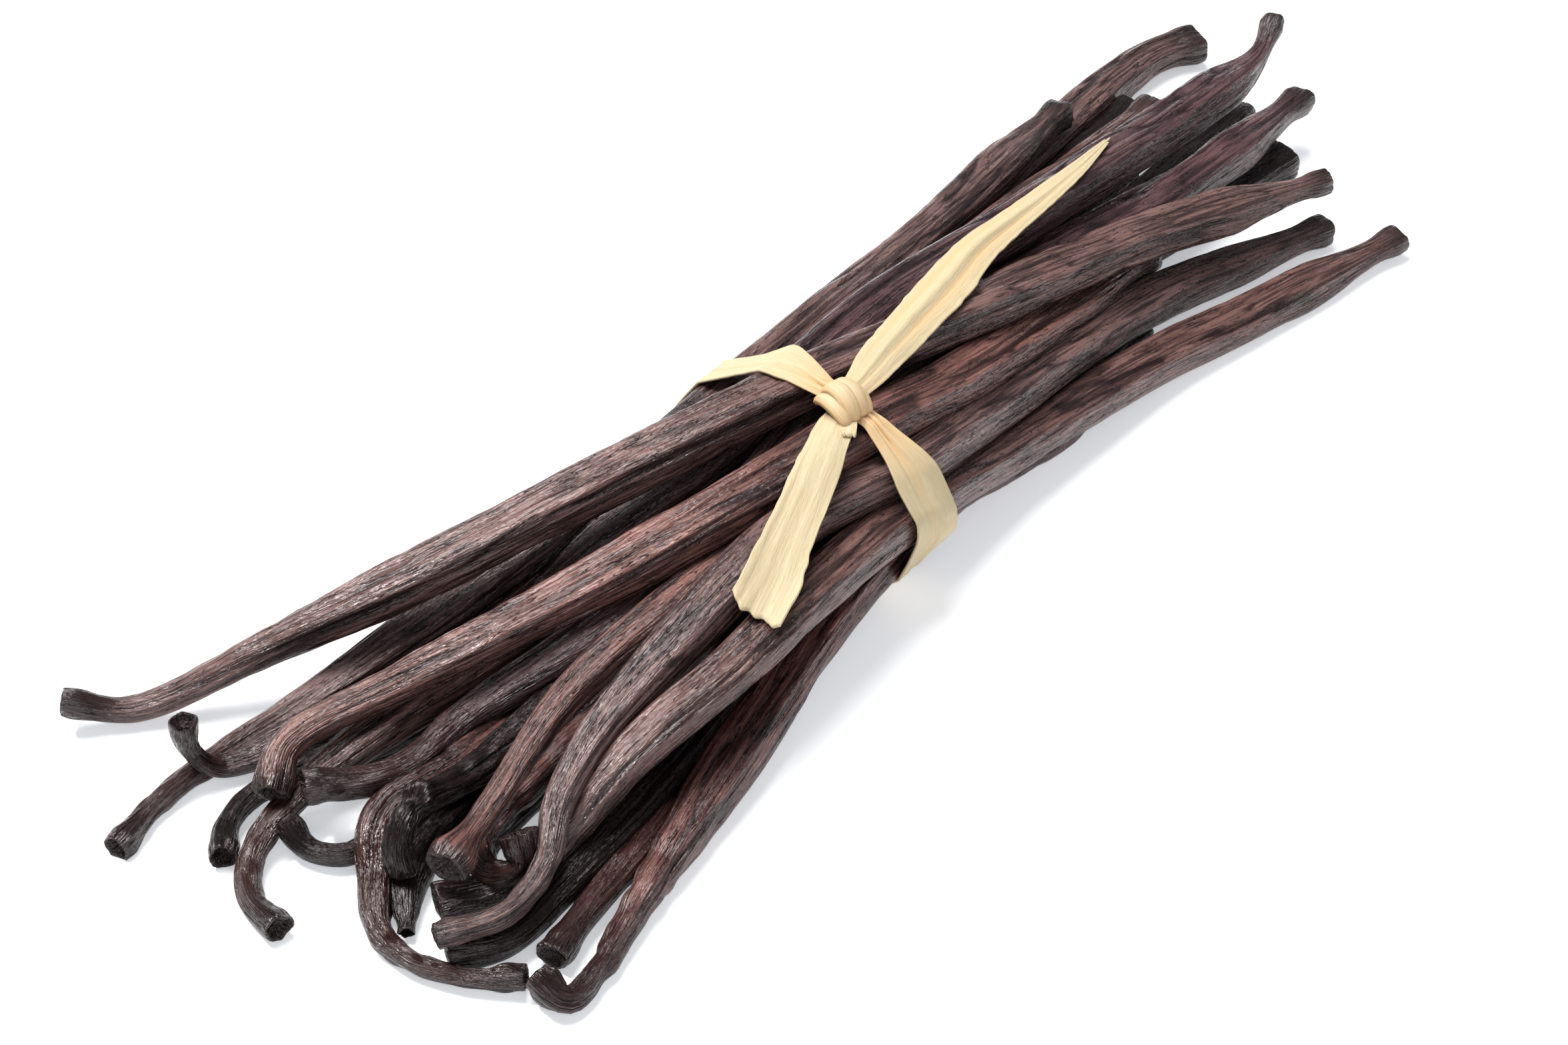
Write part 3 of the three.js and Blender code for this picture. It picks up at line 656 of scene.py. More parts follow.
def pod_surface(pod):
    """Rings of the wrinkled pod from end to end, with their places and the painted shade of their
    wrinkles, a little of it on the end faces.
    """
    relief, painted_wrinkle_shade = skin_relief(pod)
    skin = pod.skin + pod.outward * relief[..., None]
    skin[..., 2] = np.maximum(skin[..., 2], FLOOR_CLEARANCE)
    stem = end_face(pod, 0, STEM_FACE, -1, skin)
    blossom = end_face(pod, -1, BLOSSOM_FACE, 1, skin)[::-1]
    rings = np.concatenate([stem, skin, blossom])
    rings[..., 2] = np.maximum(rings[..., 2], FLOOR_CLEARANCE)
    count = len(FACE_RINGS)
    places = np.concatenate([np.zeros(count), pod.places, np.full(count, pod.length)])
    # the end faces get a little painted shade
    face_painted_shade = np.full((count, ROUND), 0.5)
    return rings, places, np.concatenate([face_painted_shade, painted_wrinkle_shade, face_painted_shade])


def faces_of(*groups):
    """Faces from groups of corners, where each corner is an array with a point per face."""
    faces = []
    for corners in groups:
        faces += np.stack(corners, axis=-1).reshape(-1, len(corners)).tolist()
    return faces


def closed_tube(rings):
    """Points of a tube of rings, with a middle point before the first and after the last."""
    ends = rings[[0, -1]].mean(axis=1)
    return np.vstack([ends[:1], rings.reshape(-1, 3), ends[1:]])


def tube_faces(rows, sides):
    """Quads of a tube of rings with a fan of triangles at both ends."""
    ring = 1 + np.arange(rows * sides).reshape(rows, sides)
    after = np.roll(ring, -1, axis=1)
    first = np.zeros(sides, int)
    last = np.full(sides, 1 + rows * sides)
    skin = (ring[:-1], after[:-1], after[1:], ring[1:])
    return faces_of(skin, (first, after[0], ring[0]), (last, ring[-1], after[-1]))


def placed(name, data):
    """A new object in the scene."""
    made = bpy.data.objects.new(name, data)
    bpy.context.scene.collection.objects.link(made)
    return made


def new_piece(name, points, faces, material, attributes):
    """A smooth-shaded piece from points in millimetres, riding on the CAD's one body."""
    mesh = bpy.data.meshes.new(name)
    mesh.from_pydata((np.asarray(points) * MM).tolist(), [], faces)
    for key, values in attributes.items():
        values = np.asarray(values, np.float32)
        kind, field = ("FLOAT_VECTOR", "vector") if values.ndim == 2 else ("FLOAT", "value")
        mesh.attributes.new(key, kind, "POINT").data.foreach_set(field, values.ravel())
    mesh.polygons.foreach_set("use_smooth", np.ones(len(mesh.polygons), bool))
    mesh.materials.append(material)
    mesh.update()
    made = placed(name, mesh)
    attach(made, "root")
    return made


def stand_for_pods(made):
    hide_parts("pods")


def stand_for_tie(made):
    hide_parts("raffia_tie")


def pod_looks(pod, number, places, painted_shades):
    """Values at each point of a pod that its material reads."""
    facts = pod.facts
    stem_tip = 1 - smooth_step(0, facts["dark"], places)
    blossom_tip = 1 - smooth_step(1, 7, pod.length - places)
    wet = 1 - smooth_step(0.5 * facts["wet"], facts["wet"], places)
    inwards = np.concatenate([FACE_RINGS, np.ones(len(pod.places)), FACE_RINGS[::-1]])[:, None]
    along = np.repeat(places[:, None] / GRAIN_LENGTH, ROUND, axis=1) + GRAIN_APART * number
    round_it = [turn(pod.angles) * GRAIN_RADIUS * inwards for turn in (np.cos, np.sin)]

    def with_ends(values, first, last):
        return np.concatenate([[first], values, [last]])

    return {
        # painted shade deep in the wrinkles, a little of it on the end faces
        "painted_wrinkle_shade": with_ends(painted_shades.ravel(), 0.5, 0.5),
        "tip": with_ends(np.repeat(stem_tip + blossom_tip, ROUND), 1, 1),
        "wet": with_ends(np.repeat(wet, ROUND), 1, 0),
        "grain": closed_tube(np.stack([*round_it, along], axis=-1)),
    }


def build_pod(pod, number):
    rings, places, painted_shades = pod_surface(pod)
    looks = pod_looks(pod, number, places, painted_shades)
    faces = tube_faces(len(rings), ROUND)
    material = pod_material(pod.facts["tone"])
    stand_for_pods(new_piece(pod.facts["name"], closed_tube(rings), faces, material, looks))


def build_painted_shade_core():
    """A near-black filler inside the bundle: painted shade, seen only down the gaps between the
    pods.
    """
    turn = even_turns(CORE_SIDES)
    rings = []
    for x, y, half, low, high in CORE:
        across = y + half * np.cos(turn)
        up = (low + high) / 2 + (high - low) / 2 * np.sin(turn)
        rings.append(np.column_stack([np.full(CORE_SIDES, x), across, up]) + TIE)
    faces = tube_faces(len(rings), CORE_SIDES)
    stand_for_pods(new_piece("core", closed_tube(np.array(rings)), faces, painted_shade_core_material(), {}))


# ---- Materials ----

# Linear colours of the skin: of its ridges, of its grooves (for its stains, fibres and cracks, and
# as painted shade deep in its wrinkles), and of its slow blotches.
TONES = {
    "brown": ((0.136, 0.070, 0.060), (0.008, 0.003, 0.003), (0.081, 0.039, 0.033)),
    "pinkish": ((0.147, 0.080, 0.070), (0.009, 0.004, 0.004), (0.092, 0.048, 0.042)),
    "red": ((0.170, 0.076, 0.062), (0.010, 0.003, 0.003), (0.103, 0.045, 0.037)),
    "darkred": ((0.136, 0.056, 0.047), (0.007, 0.002, 0.002), (0.069, 0.026, 0.022)),
    "grey": ((0.131, 0.073, 0.066), (0.008, 0.004, 0.004), (0.083, 0.046, 0.042)),
    "purplish": ((0.091, 0.045, 0.047), (0.006, 0.002, 0.003), (0.052, 0.025, 0.028)),
    "loop": ((0.094, 0.039, 0.033), (0.005, 0.002, 0.002), (0.028, 0.013, 0.013)),
    "black": ((0.013, 0.006, 0.006), (0.002, 0.001, 0.001), (0.006, 0.003, 0.003)),
}
GLOSSY_TONES = ("black", "loop")  # wetter skins: darker, with sharper glints
TIP_COLOUR = (0.008, 0.005, 0.005)
WET_COLOUR = (0.016, 0.005, 0.004)  # of the dark glossy skin behind a stem end
OILY = (1.0, 0.90, 0.88)  # tint of the skin's shine
STRAW = (0.405, 0.325, 0.19)
STRAW_PALE = (0.45, 0.37, 0.235)
# tan painted shade in the raffia's creases, folds and bunching
STRAW_SHADE = (0.52, 0.325, 0.155)

# The colour sockets of a mix node, which share their names with others.
MIX_FIRST = 6
MIX_SECOND = 7
MIX_RESULT = 2


class Nodes:
    """Short calls for building one material's node tree."""

    def __init__(self, name):
        self.material = bpy.data.materials.new(name)
        self.material.use_nodes = True
        self.tree = self.material.node_tree
        self.tree.nodes.clear()
        self.output = self.tree.nodes.new("ShaderNodeOutputMaterial")

    def feed(self, socket, value):
        """Links an output to a socket, or gives the socket its own number or colour."""
        if isinstance(value, bpy.types.NodeSocket):
            self.tree.links.new(value, socket)
        elif socket.type == "RGBA":
            socket.default_value = (*value[:3], 1.0)
        else:
            socket.default_value = value

    def add(self, kind, inputs=None, **settings):
        """A node with its settings, and with the inputs that aren't None fed."""
        node = self.tree.nodes.new(kind)
        for key, value in settings.items():
            setattr(node, key, value)
        for key, value in (inputs or {}).items():
            if value is not None:
                self.feed(node.inputs[key], value)
        return node

    def attribute(self, name, output="Fac"):
        return self.add("ShaderNodeAttribute", attribute_name=name).outputs[output]

    def noise(self, vector, scale, detail=3.0, roughness=0.55):
        inputs = {"Vector": vector, "Scale": scale, "Detail": detail, "Roughness": roughness}
        return self.add("ShaderNodeTexNoise", inputs).outputs["Fac"]

    def stretched(self, vector, scale):
        node = self.add("ShaderNodeVectorMath", {0: vector, 1: scale}, operation="MULTIPLY")
        return node.outputs["Vector"]

    def maths(self, operation, first, second):
        node = self.add("ShaderNodeMath", {0: first, 1: second}, operation=operation)
        return node.outputs["Value"]

    def ranged(self, value, low, high, to_low=0.0, to_high=1.0):
        inputs = {"Value": value, "From Min": low, "From Max": high}
        inputs.update({"To Min": to_low, "To Max": to_high})
        node = self.add("ShaderNodeMapRange", inputs, interpolation_type="SMOOTHSTEP")
        return node.outputs["Result"]

    def cracks(self, vector, scale, width):
        """1 along thin broken lines where a noise crosses its middle value."""
        from_middle = self.maths("SUBTRACT", self.noise(vector, scale, 2.5), 0.5)
        lines = self.ranged(self.maths("ABSOLUTE", from_middle, 0), 0.0, width, 1.0, 0.0)
        broken = self.ranged(self.noise(vector, scale * 0.7, 2.0), 0.42, 0.55)
        return self.maths("MULTIPLY", lines, broken)

    def mix(self, share, first, second):
        inputs = {"Factor": share, MIX_FIRST: first, MIX_SECOND: second}
        return self.add("ShaderNodeMix", inputs, data_type="RGBA").outputs[MIX_RESULT]

    def layered(self, colour, layers):
        """A colour with others laid over it, each as (share, strength, colour)."""
        for share, strength, over in layers:
            colour = self.mix(self.maths("MULTIPLY", share, strength), colour, over)
        return colour

    def bump(self, height, distance, strength=1.0, normal=None):
        inputs = {"Height": height, "Distance": distance, "Strength": strength, "Normal": normal}
        return self.add("ShaderNodeBump", inputs).outputs["Normal"]

    def surface(self, colour, roughness, normal=None, **constants):
        """Ends the tree in one shader, and returns the material."""
        inputs = {"Base Color": colour, "Roughness": roughness, "Normal": normal}
        inputs.update({key.replace("_", " "): value for key, value in constants.items()})
        shader = self.add("ShaderNodeBsdfPrincipled", inputs)
        self.feed(self.output.inputs["Surface"], shader.outputs["BSDF"])
        return self.material


@functools.cache
def pod_material(tone):
    """Oily wrinkled skin: blotched and streaked, with painted shade deep in its wrinkles, and dark
    at its ends.
    """
    ridge, groove, blotch = TONES[tone]
    nodes = Nodes("vanilla_" + tone)
    grain = nodes.attribute("grain", "Vector")
    long_grain = nodes.stretched(grain, (1, 1, 0.3))
    fibres = nodes.noise(nodes.stretched(grain, (1, 1, 0.1)), 2.6, 2.0, 0.55)
    blotches = nodes.ranged(nodes.noise(grain, 0.45, 4.0, 0.6), 0.35, 0.65)
    stains = nodes.ranged(nodes.noise(long_grain, 1.3, 5.0, 0.75), 0.53, 0.68)
    cracks = nodes.cracks(long_grain, 1.5, 0.016)
    wet = nodes.attribute("wet")
    layers = [
        (stains, 0.2, groove),
        (nodes.ranged(fibres, 0.53, 0.42), 0.75, groove),
        # painted shade: the groove colour laid deep in the wrinkles
        (nodes.ranged(nodes.attribute("painted_wrinkle_shade"), 0.42, 0.95), 0.95, groove),
        (cracks, 0.9, groove),
        (nodes.cracks(long_grain, 2.8, 0.02), 0.75, groove),
        (wet, 0.75, WET_COLOUR),
        (nodes.attribute("tip"), 0.75, TIP_COLOUR),
    ]
    skin = nodes.layered(nodes.mix(blotches, ridge, blotch), layers)
    glossy = tone in GLOSSY_TONES
    smoothest, roughest = (0.14, 0.3) if glossy else (0.2, 0.38)
    roughness = nodes.ranged(nodes.noise(grain, 2.0, 4.0, 0.7), 0.35, 0.65, smoothest, roughest)
    roughness = nodes.maths("MULTIPLY", roughness, nodes.ranged(wet, 0.0, 1.0, 1.0, 0.55))
    normal = nodes.bump(cracks, -0.0003)
    normal = nodes.bump(nodes.noise(long_grain, 2.2, 3.0, 0.55), 0.0004, 1.0, normal)
    normal = nodes.bump(fibres, 0.0002, 1.0, normal)
    normal = nodes.bump(nodes.noise(grain, 3.5, 2.0, 0.5), 0.0001, 1.0, normal)
    shine = 0.34 if glossy else 0.48
    return nodes.surface(skin, roughness, normal, Specular_IOR_Level=shine, Specular_Tint=OILY)


def painted_shade_core_material():
    nodes = Nodes("vanilla_inside_painted_shade")
    grain = nodes.add("ShaderNodeTexCoord").outputs["Object"]
    # near black: painted shade of the bundle's inside
    colour = nodes.mix(nodes.noise(grain, 300.0), (0.008, 0.005, 0.005), (0.016, 0.010, 0.009))
    return nodes.surface(colour, 0.7)


@functools.cache
def raffia_material():
    """Dry palm leaf: pale straw with fine fibres, and tan painted shade where it is creased,
    folded or bunched.
    """
    nodes = Nodes("raffia_straw")
    grain = nodes.attribute("grain", "Vector")
    fibres = nodes.noise(grain, 3.0, 4.0, 0.6)
    patches = nodes.noise(grain, 0.35, 2.0)
    colour = nodes.mix(nodes.ranged(fibres, 0.35, 0.65), STRAW, STRAW_PALE)
    colour = nodes.mix(nodes.ranged(patches, 0.35, 0.7, 0.0, 0.35), colour, STRAW)
    # painted shade: tan in creases, folds and where the strip bunches
    colour = nodes.mix(nodes.attribute("painted_crease_shade"), colour, STRAW_SHADE)
    normal = nodes.bump(fibres, 0.0001, 0.8)
    return nodes.surface(colour, 0.62, normal, Specular_IOR_Level=0.35)


# ---- Raffia ----


class Rest:
    """The pods' finished skins as something to lay raffia on."""

    def __init__(self, skins):
        points = np.vstack(skins)
        along = points[:, 0] - TIE[0]
        self.points = points[(along > RAFFIA_FROM) & (along < RAFFIA_TO)]

    def highest(self, spots, reach=1.3):
        """Height of the highest skin within reach of each spot, seen from above."""
        low = spots.min(axis=0) - reach
        high = spots.max(axis=0) + reach
        flat = self.points[:, :2]
        close = self.points[((flat > low) & (flat < high)).all(axis=1)]
        heights = []
        for spot in spots:
            under = (np.abs(close[:, :2] - spot) < reach).all(axis=1)
            heights.append(close[under, 2].max() if under.any() else 0)
        return np.array(heights)

    def outline(self, x, reach):
        """Corners of the tight outline round the bundle at one x, as (y, z)."""
        near = self.points[np.abs(self.points[:, 0] - x) < reach]
        pairs = near[np.lexsort((near[:, 2], near[:, 1])), 1:]
        under = bent_one_way(pairs, turns_right)
        over = bent_one_way(pairs[::-1], turns_right)
        return np.array(under[:-1] + over[:-1])


def turns_right(a, b, c):
    return (b[0] - a[0]) * (c[1] - a[1]) - (b[1] - a[1]) * (c[0] - a[0]) <= 0


def turns_left(a, b, c):
    return not turns_right(a, b, c)


def bent_one_way(points, wrong_turn):
    """What is left of a chain of points once each wrong turn is cut straight."""
    kept = []
    for point in points:
        while len(kept) > 1 and wrong_turn(kept[-2], kept[-1], point):
            kept.pop()
        kept.append(point)
    return kept


def pulled_taut(run, heights):
    """Heights of a stiff strip that bridges straight from top to top."""
    kept = np.array(bent_one_way(zip(run, heights), turns_left))
    return np.interp(run, kept[:, 0], kept[:, 1])


def moving_mean(values, width):
    kernel = np.hanning(width + 2)[1:-1]
    padded = np.pad(values, (width // 2, width // 2), mode="edge")
    return np.convolve(padded, kernel / kernel.sum(), mode="valid")


def rib_profile(rng, across, rows, ribs):
    """Irregular lengthwise ribs of the leaf, which drift slowly across it."""
    drift = 0.4 * line_noise(rng, np.arange(rows) * 1.0, 30)[:, None]
    heights = rng.uniform(-1, 1, 2 * ribs + 6)
    return RIB_HEIGHT * looked_up(heights, (across + 1) * ribs + 2 + drift)


def leaf_solid(grid, looped):
    """A closed skin on both sides of a grid of points, as (points, faces)."""
    down = np.gradient(grid, axis=0)
    if looped:
        down[0] = down[-1] = (grid[1] - grid[-2]) / 2
    normal = unit(np.cross(down, np.gradient(grid, axis=1)))
    upper = grid + normal * STRIP_THICK / 2
    lower = grid - normal * STRIP_THICK / 2
    rows, columns = grid.shape[:2]
    top = np.arange(rows * columns).reshape(rows, columns)
    if looped:
        top = np.vstack([top, top[:1]])
    low = top + rows * columns
    sides = [
        (top[:-1, :-1], top[1:, :-1], top[1:, 1:], top[:-1, 1:]),
        (low[:-1, :-1], low[:-1, 1:], low[1:, 1:], low[1:, :-1]),
        (top[:-1, 0], low[:-1, 0], low[1:, 0], top[1:, 0]),
        (top[:-1, -1], top[1:, -1], low[1:, -1], low[:-1, -1]),
    ]
    ends = [
        (top[0, :-1], top[0, 1:], low[0, 1:], low[0, :-1]),
        (top[-1, :-1], low[-1, :-1], low[-1, 1:], top[-1, 1:]),
    ]
    points = np.vstack([upper.reshape(-1, 3), lower.reshape(-1, 3)])
    return points, faces_of(*sides, *([] if looped else ends))


def strip_looks(grid, painted_crease_shade, seed):
    """Fibre coordinates and tan painted shade in the creases for both skins of a strip."""
    rows, columns = grid.shape[:2]
    grain = np.zeros((rows, columns, 3))
    grain[..., 0] = distances_along(grid[rows // 2])[None] * LEAF_GRAIN_WIDTH
    grain[..., 1] = distances_along(grid[:, columns // 2])[:, None] / LEAF_GRAIN_LENGTH
    grain[..., 2] = seed * 10
    flat = grain.reshape(-1, 3)
    return {
        "grain": np.vstack([flat, flat]),
        "painted_crease_shade": np.clip(np.tile(painted_crease_shade.ravel(), 2), 0, 1),
    }


def build_strip(name, grid, painted_crease_shade, seed, looped=False):
    points, faces = leaf_solid(grid, looped)
    looks = strip_looks(grid, painted_crease_shade, seed)
    stand_for_tie(new_piece(name, points, faces, raffia_material(), looks))


def edge_middle_edge(across):
    """Shares of a strip's left edge, middle and right edge in a smooth curve across it."""
    return np.array([across * (across - 1) / 2, 1 - across**2, across * (across + 1) / 2])


def laid_height(rest, run, middle, sideways, width, across):
    """Heights of a strip that lies on the pods and bridges the gaps between them."""
    supports = []
    for share in (-1, -0.5, 0, 0.5, 1):
        spots = middle + sideways * (share * width / 2)[:, None]
        supports.append(pulled_taut(run, rest.highest(spots) + STRIP_GAP + STRIP_THICK / 2))
    supports = np.array(supports)
    height = supports[::2].T @ edge_middle_edge(across)
    at_supports = height[:, :: TAIL_COLUMNS // 4].T
    lift = np.clip(supports - at_supports, 0, None).max(axis=0)
    return height + moving_mean(lift, 9)[:, None]


def tail_grid(rest, stations, rng, fold, ribs, ragged):
    """Middle surface of a free tail that lies on the pods.

    fold gives the height of a lengthwise fold for each row (share along, -1..1 across).
    """
    line = smooth_curve(stations)
    line_run = distances_along(line[:, :2])
    run = np.linspace(0, line_run[-1], round(line_run[-1] / TAIL_STEP))
    x, y, width = (np.interp(run, line_run, line[:, k]) for k in range(3))
    middle = np.column_stack([x, y]) + TIE[:2]
    forward = unit(np.gradient(middle, axis=0))
    sideways = np.column_stack([-forward[:, 1], forward[:, 0]])
    across = np.linspace(-1, 1, TAIL_COLUMNS)
    along = (run / run[-1])[:, None]
    height = laid_height(rest, run, middle, sideways, width, across)
    edges = [1 + ragged * line_noise(rng, run, step)[:, None] for step in (1.3, 1.5)]
    edge_share = np.where(across < 0, *edges)
    spread = across * np.where(np.abs(across) > 0.8, edge_share, 1)
    torn = ragged * TORN_END * line_noise(rng, (across + 1) * 4, 1.0)
    ending = smooth_step(0.85, 1, along) * torn
    flat = middle[:, None] + sideways[:, None] * (spread * width[:, None] / 2)[..., None]
    flat = flat + forward[:, None] * ending[..., None]
    height = height + rib_profile(rng, across, len(run), ribs) + fold(along, across)
    return np.concatenate([flat, height[..., None]], axis=2)


def painted_shade_from_fold(height):
    """Painted shade in tan where a fold is sharply valley-shaped."""
    second = np.gradient(np.gradient(height, axis=1), axis=1)
    return np.clip(second * 60, 0, 0.8)


def front_fold(along, across):
    near_knot = 1 - smooth_step(0.0, 0.35, along)
    return 0.9 * near_knot * (1 - np.abs(across)) - 0.1 * (1 - near_knot) * across**2


def back_fold(along, across):
    near_knot = 1 - smooth_step(0.0, 0.25, along)
    curl = smooth_step(0.05, 0.3, along) * (1 - smooth_step(0.5, 0.9, along))
    return 0.8 * near_knot * (1 - np.abs(across)) + 0.7 * curl * bell(across - 0.1, 0.35)


def stub_fold(along, across):
    return 0.45 + 0.5 * (1 - across**2) * (1 - along)


def build_tail(rest, name, stations, fold, ribs, ragged, seed):
    """A free tail of the strip, with tan painted shade where it leaves the knot and in its folds.
    """
    grid = tail_grid(rest, stations, np.random.default_rng(seed), fold, ribs, ragged)
    rows, columns = grid.shape[:2]
    along = np.linspace(0, 1, rows)[:, None]
    across = np.linspace(-1, 1, columns)[None]
    near_knot = 1 - smooth_step(0.0, 0.12, along)
    # painted shade in tan: near the knot and in the folds' valleys
    painted_crease_shade = 0.5 * near_knot + painted_shade_from_fold(fold(along, across))
    build_strip(name, grid, painted_crease_shade, seed)


def bundle_radius(rest, turn, centre, across):
    """Distance from the centre to the bundle's tight outline, for each row and column."""
    outlines = []
    for share in (-1, 0, 1):
        corners = rest.outline(TIE[0] + BAND_X + share * BAND_WIDTH / 2, 1.2)
        closed = np.vstack([corners, corners[:1]])
        dense = points_at(closed, np.linspace(0, distances_along(closed)[-1], 2000)) - centre
        angle = np.arctan2(dense[:, 1], dense[:, 0]) % (2 * math.pi)
        order = np.argsort(angle)
        radius = np.hypot(dense[:, 0], dense[:, 1])[order]
        outlines.append(np.interp(turn, angle[order], radius, period=2 * math.pi))
    outlines = np.array(outlines)
    return outlines[1], outlines.T @ edge_middle_edge(across)


def band_grid(rest, rng):
    """Middle surface of the band round the bundle, as rows round and columns across."""
    turn = even_turns(BAND_ROWS)
    centre = np.array([TIE[1], BAND_CENTRE_Z])
    across = np.linspace(-1, 1, BAND_COLUMNS)
    middle_radius, radius = bundle_radius(rest, turn, centre, across)
    y = centre[0] + np.cos(turn) * middle_radius
    z = centre[1] + np.sin(turn) * middle_radius
    from_knot = y - (TIE[1] + KNOT["y"])
    on_top = z > centre[1]
    away = np.where(on_top, np.abs(from_knot), 100)
    spread = smooth_step(KNOT["width"] / 2, KNOT["width"] / 2 + BUNCHED_LENGTH, away)
    full = BAND_WIDTH + (SLACK_WIDTH - BAND_WIDTH) * smooth_step(2, 12, -from_knot)
    half = (BUNCHED_WIDTH + (full - BUNCHED_WIDTH) * spread) / 2
    edge = 1 + 0.03 * line_noise(rng, np.arange(BAND_ROWS) * 1.0, 4)
    bunch = (1 - spread)[:, None]
    radius = radius + STRIP_GAP + STRIP_THICK / 2
    radius = radius + rib_profile(rng, across, BAND_ROWS, 6) * (1 + 1.6 * bunch)
    radius = radius - 0.3 * bell(across - BAND_CREASE, 0.14) * (0.4 + bunch)
    radius = radius + 0.55 * bunch * (1 - across**2)
    left_lift = ((from_knot > 0) & on_top) * bell(away - 9, 5)
    radius = radius + 1.3 * left_lift[:, None] * smooth_step(0.1, 1, across)
    slack = smooth_step(4, 9, -from_knot) * smooth_step(3, 12, z)
    radius = radius + slack[:, None] * (0.5 + 1.1 * smooth_step(-0.6, 0.6, across))
    grid = np.zeros((BAND_ROWS, BAND_COLUMNS, 3))
    grid[..., 0] = TIE[0] + BAND_X + across * half[:, None] * edge[:, None]
    grid[..., 1] = centre[0] + np.cos(turn)[:, None] * radius
    grid[..., 2] = np.maximum(centre[1] + np.sin(turn)[:, None] * radius, STRIP_THICK)
    # painted shade in tan: where the band bunches at the knot and along its fold
    painted_crease_shade = 0.75 * bunch + 0.8 * bell(across - BAND_CREASE, 0.12) * (0.3 + bunch)
    return grid, painted_crease_shade


def build_band(rest):
    grid, painted_crease_shade = band_grid(rest, np.random.default_rng(71))
    build_strip("raffia_band", grid, painted_crease_shade, 7, looped=True)


def strand_rings(strand, middle, rng):
    """Rings of one flattened strand that arches over the knot."""
    bend = np.linspace(-1, 1, STRAND_ROWS)
    start, over, finish = strand["x"]
    x = over + (finish - start) / 2 * bend + ((start + finish) / 2 - over) * bend**2
    y = bend * KNOT["width"] / 2
    z = KNOT["height"] * (strand["top"] * np.sqrt(np.clip(1 - 0.93 * bend**2, 0, 1)) - 0.35)
    line = np.column_stack([x, y, z]) + middle
    direction = unit(np.gradient(line, axis=0))
    side = unit(np.cross(direction, [0, 0, 1.0]))
    up = np.cross(side, direction)
    turn = even_turns(STRAND_SIDES)
    narrow = 0.55 + 0.45 * np.sqrt(np.clip(1 - bend**2, 0, 1))[:, None]
    ribs = 1 + 0.07 * np.cos(9 * turn + rng.uniform(0, 6))
    across = strand["width"] / 2 * narrow * np.cos(turn) * ribs
    lift = STRAND_THICK / 2 * narrow * np.sin(turn) * ribs
    return line[:, None] + offsets(across, lift, side[:, None], up[:, None])


def strand_looks(number):
    """Fibre coordinates of one strand of the knot, and its tan painted shade: towards its ends,
    where it tucks under, and along its edges.
    """
    turn = even_turns(STRAND_SIDES)
    grain = np.zeros((STRAND_ROWS, STRAND_SIDES, 3))
    grain[..., 0] = np.cos(turn) * LEAF_GRAIN_WIDTH
    grain[..., 1] = np.linspace(0, 1, STRAND_ROWS)[:, None]
    grain[..., 2] = np.sin(turn) * LEAF_GRAIN_WIDTH + number * 9
    flat = grain.reshape(-1, 3)
    bend = np.linspace(-1, 1, STRAND_ROWS)[:, None]
    # painted shade: darker towards the strand's ends and along its edges
    shade = 0.15 + 0.65 * bend**2 + 0.45 * (np.abs(np.cos(turn)) > 0.85)
    painted_crease_shade = np.concatenate([[1], np.clip(shade, 0, 1).ravel(), [1]])
    return np.vstack([flat[:1], flat, flat[-1:]]), painted_crease_shade


def build_knot(rest):
    """The knot: strands that arch side by side over its middle, as one piece."""
    rng = np.random.default_rng(5)
    spot = np.array([TIE[0] + KNOT["x"], TIE[1] + KNOT["y"]])
    ground = rest.highest(spot[None], 2.0)[0]
    middle = np.array([*spot, ground + KNOT["height"] * 0.35])
    strands = [closed_tube(strand_rings(strand, middle, rng)) for strand in KNOT_STRANDS]
    faces = []
    for number, points in enumerate(strands):
        first = number * len(points)
        faces += [tuple(v + first for v in face) for face in tube_faces(STRAND_ROWS, STRAND_SIDES)]
    grain, painted_crease_shade = zip(*(strand_looks(number) for number in range(len(strands))))
    looks = {"grain": np.vstack(grain), "painted_crease_shade": np.concatenate(painted_crease_shade)}
    stand_for_tie(new_piece("raffia_knot", np.vstack(strands), faces, raffia_material(), looks))


# ---- Stage ----

# The camera: its turn round Z and its height angle, distance from the point looked at,
# that point, and where it lies in the picture.
PICTURE = (2353, 1568)
CAMERA_TURN = math.radians(48)
CAMERA_TILT = math.radians(40)
CAMERA_DISTANCE = 450.0
PIXELS_AT_UNIT = 5400.0
LOOKED_AT = TIE + np.array([0, 0, 11.9])
LOOKED_AT_PIXEL = (1245, 675)
SENSOR = 36.0

# Metres: half the floor's side, and each lamp as place, size, watts and colour.
FLOOR_HALF = 6.0
LAMPS = {
    "key": ((0.0, 0.35, 1.0), 0.75, 17.0, (1, 1, 1)),
    "glint": ((-0.25, 0.45, 0.8), 0.12, 7.0, (1, 1, 1)),
    "fill": ((-0.6, -0.8, 0.7), 0.9, 5.0, (0.95, 0.97, 1.0)),
}
LAMPS_AIM_AT = Vector((0.0, 0.0, 0.01))


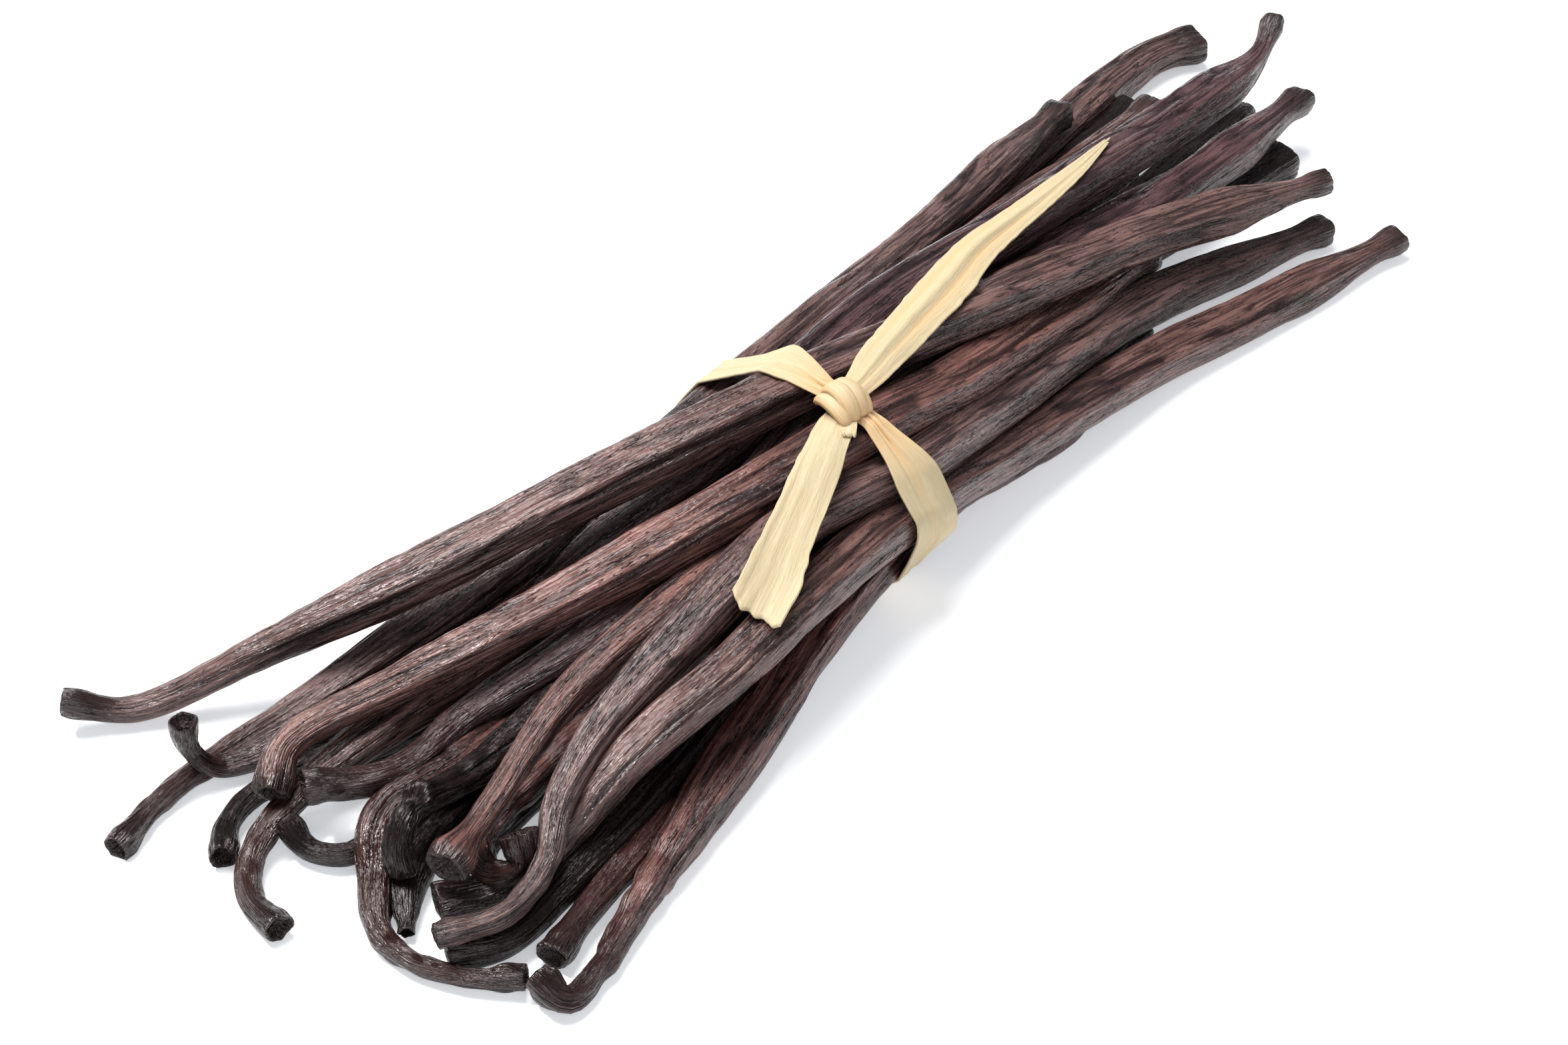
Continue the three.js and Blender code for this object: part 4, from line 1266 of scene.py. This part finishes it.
def build_camera():
    right = np.array([math.cos(CAMERA_TURN), -math.sin(CAMERA_TURN), 0])
    away = np.array([math.sin(CAMERA_TURN), math.cos(CAMERA_TURN), 0])
    upright = np.array([0, 0, 1.0])
    forward = math.cos(CAMERA_TILT) * away - math.sin(CAMERA_TILT) * upright
    up = math.sin(CAMERA_TILT) * away + math.cos(CAMERA_TILT) * upright
    shift_right = (LOOKED_AT_PIXEL[0] - PICTURE[0] / 2) / PIXELS_AT_UNIT
    shift_up = (PICTURE[1] / 2 - LOOKED_AT_PIXEL[1]) / PIXELS_AT_UNIT
    place = LOOKED_AT - CAMERA_DISTANCE * (forward + shift_right * right + shift_up * up)
    data = bpy.data.cameras.new("camera")
    data.sensor_width = SENSOR
    data.lens = PIXELS_AT_UNIT / PICTURE[0] * SENSOR
    data.clip_start = 0.01
    camera = placed("camera", data)
    turned = Matrix((right, up, -forward)).transposed()
    camera.matrix_world = Matrix.Translation(Vector(place * MM)) @ turned.to_4x4()
    bpy.context.scene.camera = camera


def build_floor():
    mesh = bpy.data.meshes.new("floor")
    far = FLOOR_HALF
    corners = [(-far, -far, 0), (far, -far, 0), (far, far, 0), (-far, far, 0)]
    mesh.from_pydata(corners, [], [(0, 1, 2, 3)])
    nodes = Nodes("pale_table")
    grain = nodes.add("ShaderNodeTexCoord").outputs["Object"]
    colour = nodes.mix(nodes.noise(grain, 4.0), (0.86, 0.86, 0.87), (0.88, 0.88, 0.89))
    glow = dict(Emission_Color=(0.93, 0.96, 1.0), Emission_Strength=0.42)
    mesh.materials.append(nodes.surface(colour, 0.6, Specular_IOR_Level=0.2, **glow))
    floor = placed("floor", mesh)


def soft_light(name, place, size, power, colour):
    data = bpy.data.lights.new(name, "AREA")
    data.shape = "DISK"
    data.size = size
    data.energy = power
    data.color = colour
    lamp = placed(name, data)
    direction = LAMPS_AIM_AT - Vector(place)
    lamp.rotation_euler = direction.to_track_quat("-Z", "Y").to_euler()
    lamp.location = place


def build_lights():
    for name, lamp in LAMPS.items():
        soft_light(name, *lamp)
    world = bpy.data.worlds.new("room")
    world.use_nodes = True
    background = world.node_tree.nodes["Background"]
    background.inputs["Color"].default_value = (0.93, 0.95, 1.0, 1.0)
    background.inputs["Strength"].default_value = 0.3
    bpy.context.scene.world = world
    bpy.context.scene.view_settings.view_transform = "Standard"


# ---- Making it ----

build_camera()
build_floor()
build_lights()

pods = [Pod(facts, seed) for seed, facts in enumerate(PODS, start=1)]
press_together(pods)
for number, pod in enumerate(pods):
    build_pod(pod, number)
build_painted_shade_core()

rest = Rest([pod.skin.reshape(-1, 3) for pod in pods])
build_band(rest)
build_tail(rest, "raffia_front_tail", FRONT_TAIL, front_fold, ribs=6, ragged=0.035, seed=31)
build_tail(rest, "raffia_back_tail", BACK_TAIL, back_fold, ribs=6, ragged=0.03, seed=32)
build_tail(rest, "raffia_stub", STUB, stub_fold, ribs=3, ragged=0.004, seed=33)
build_knot(rest)
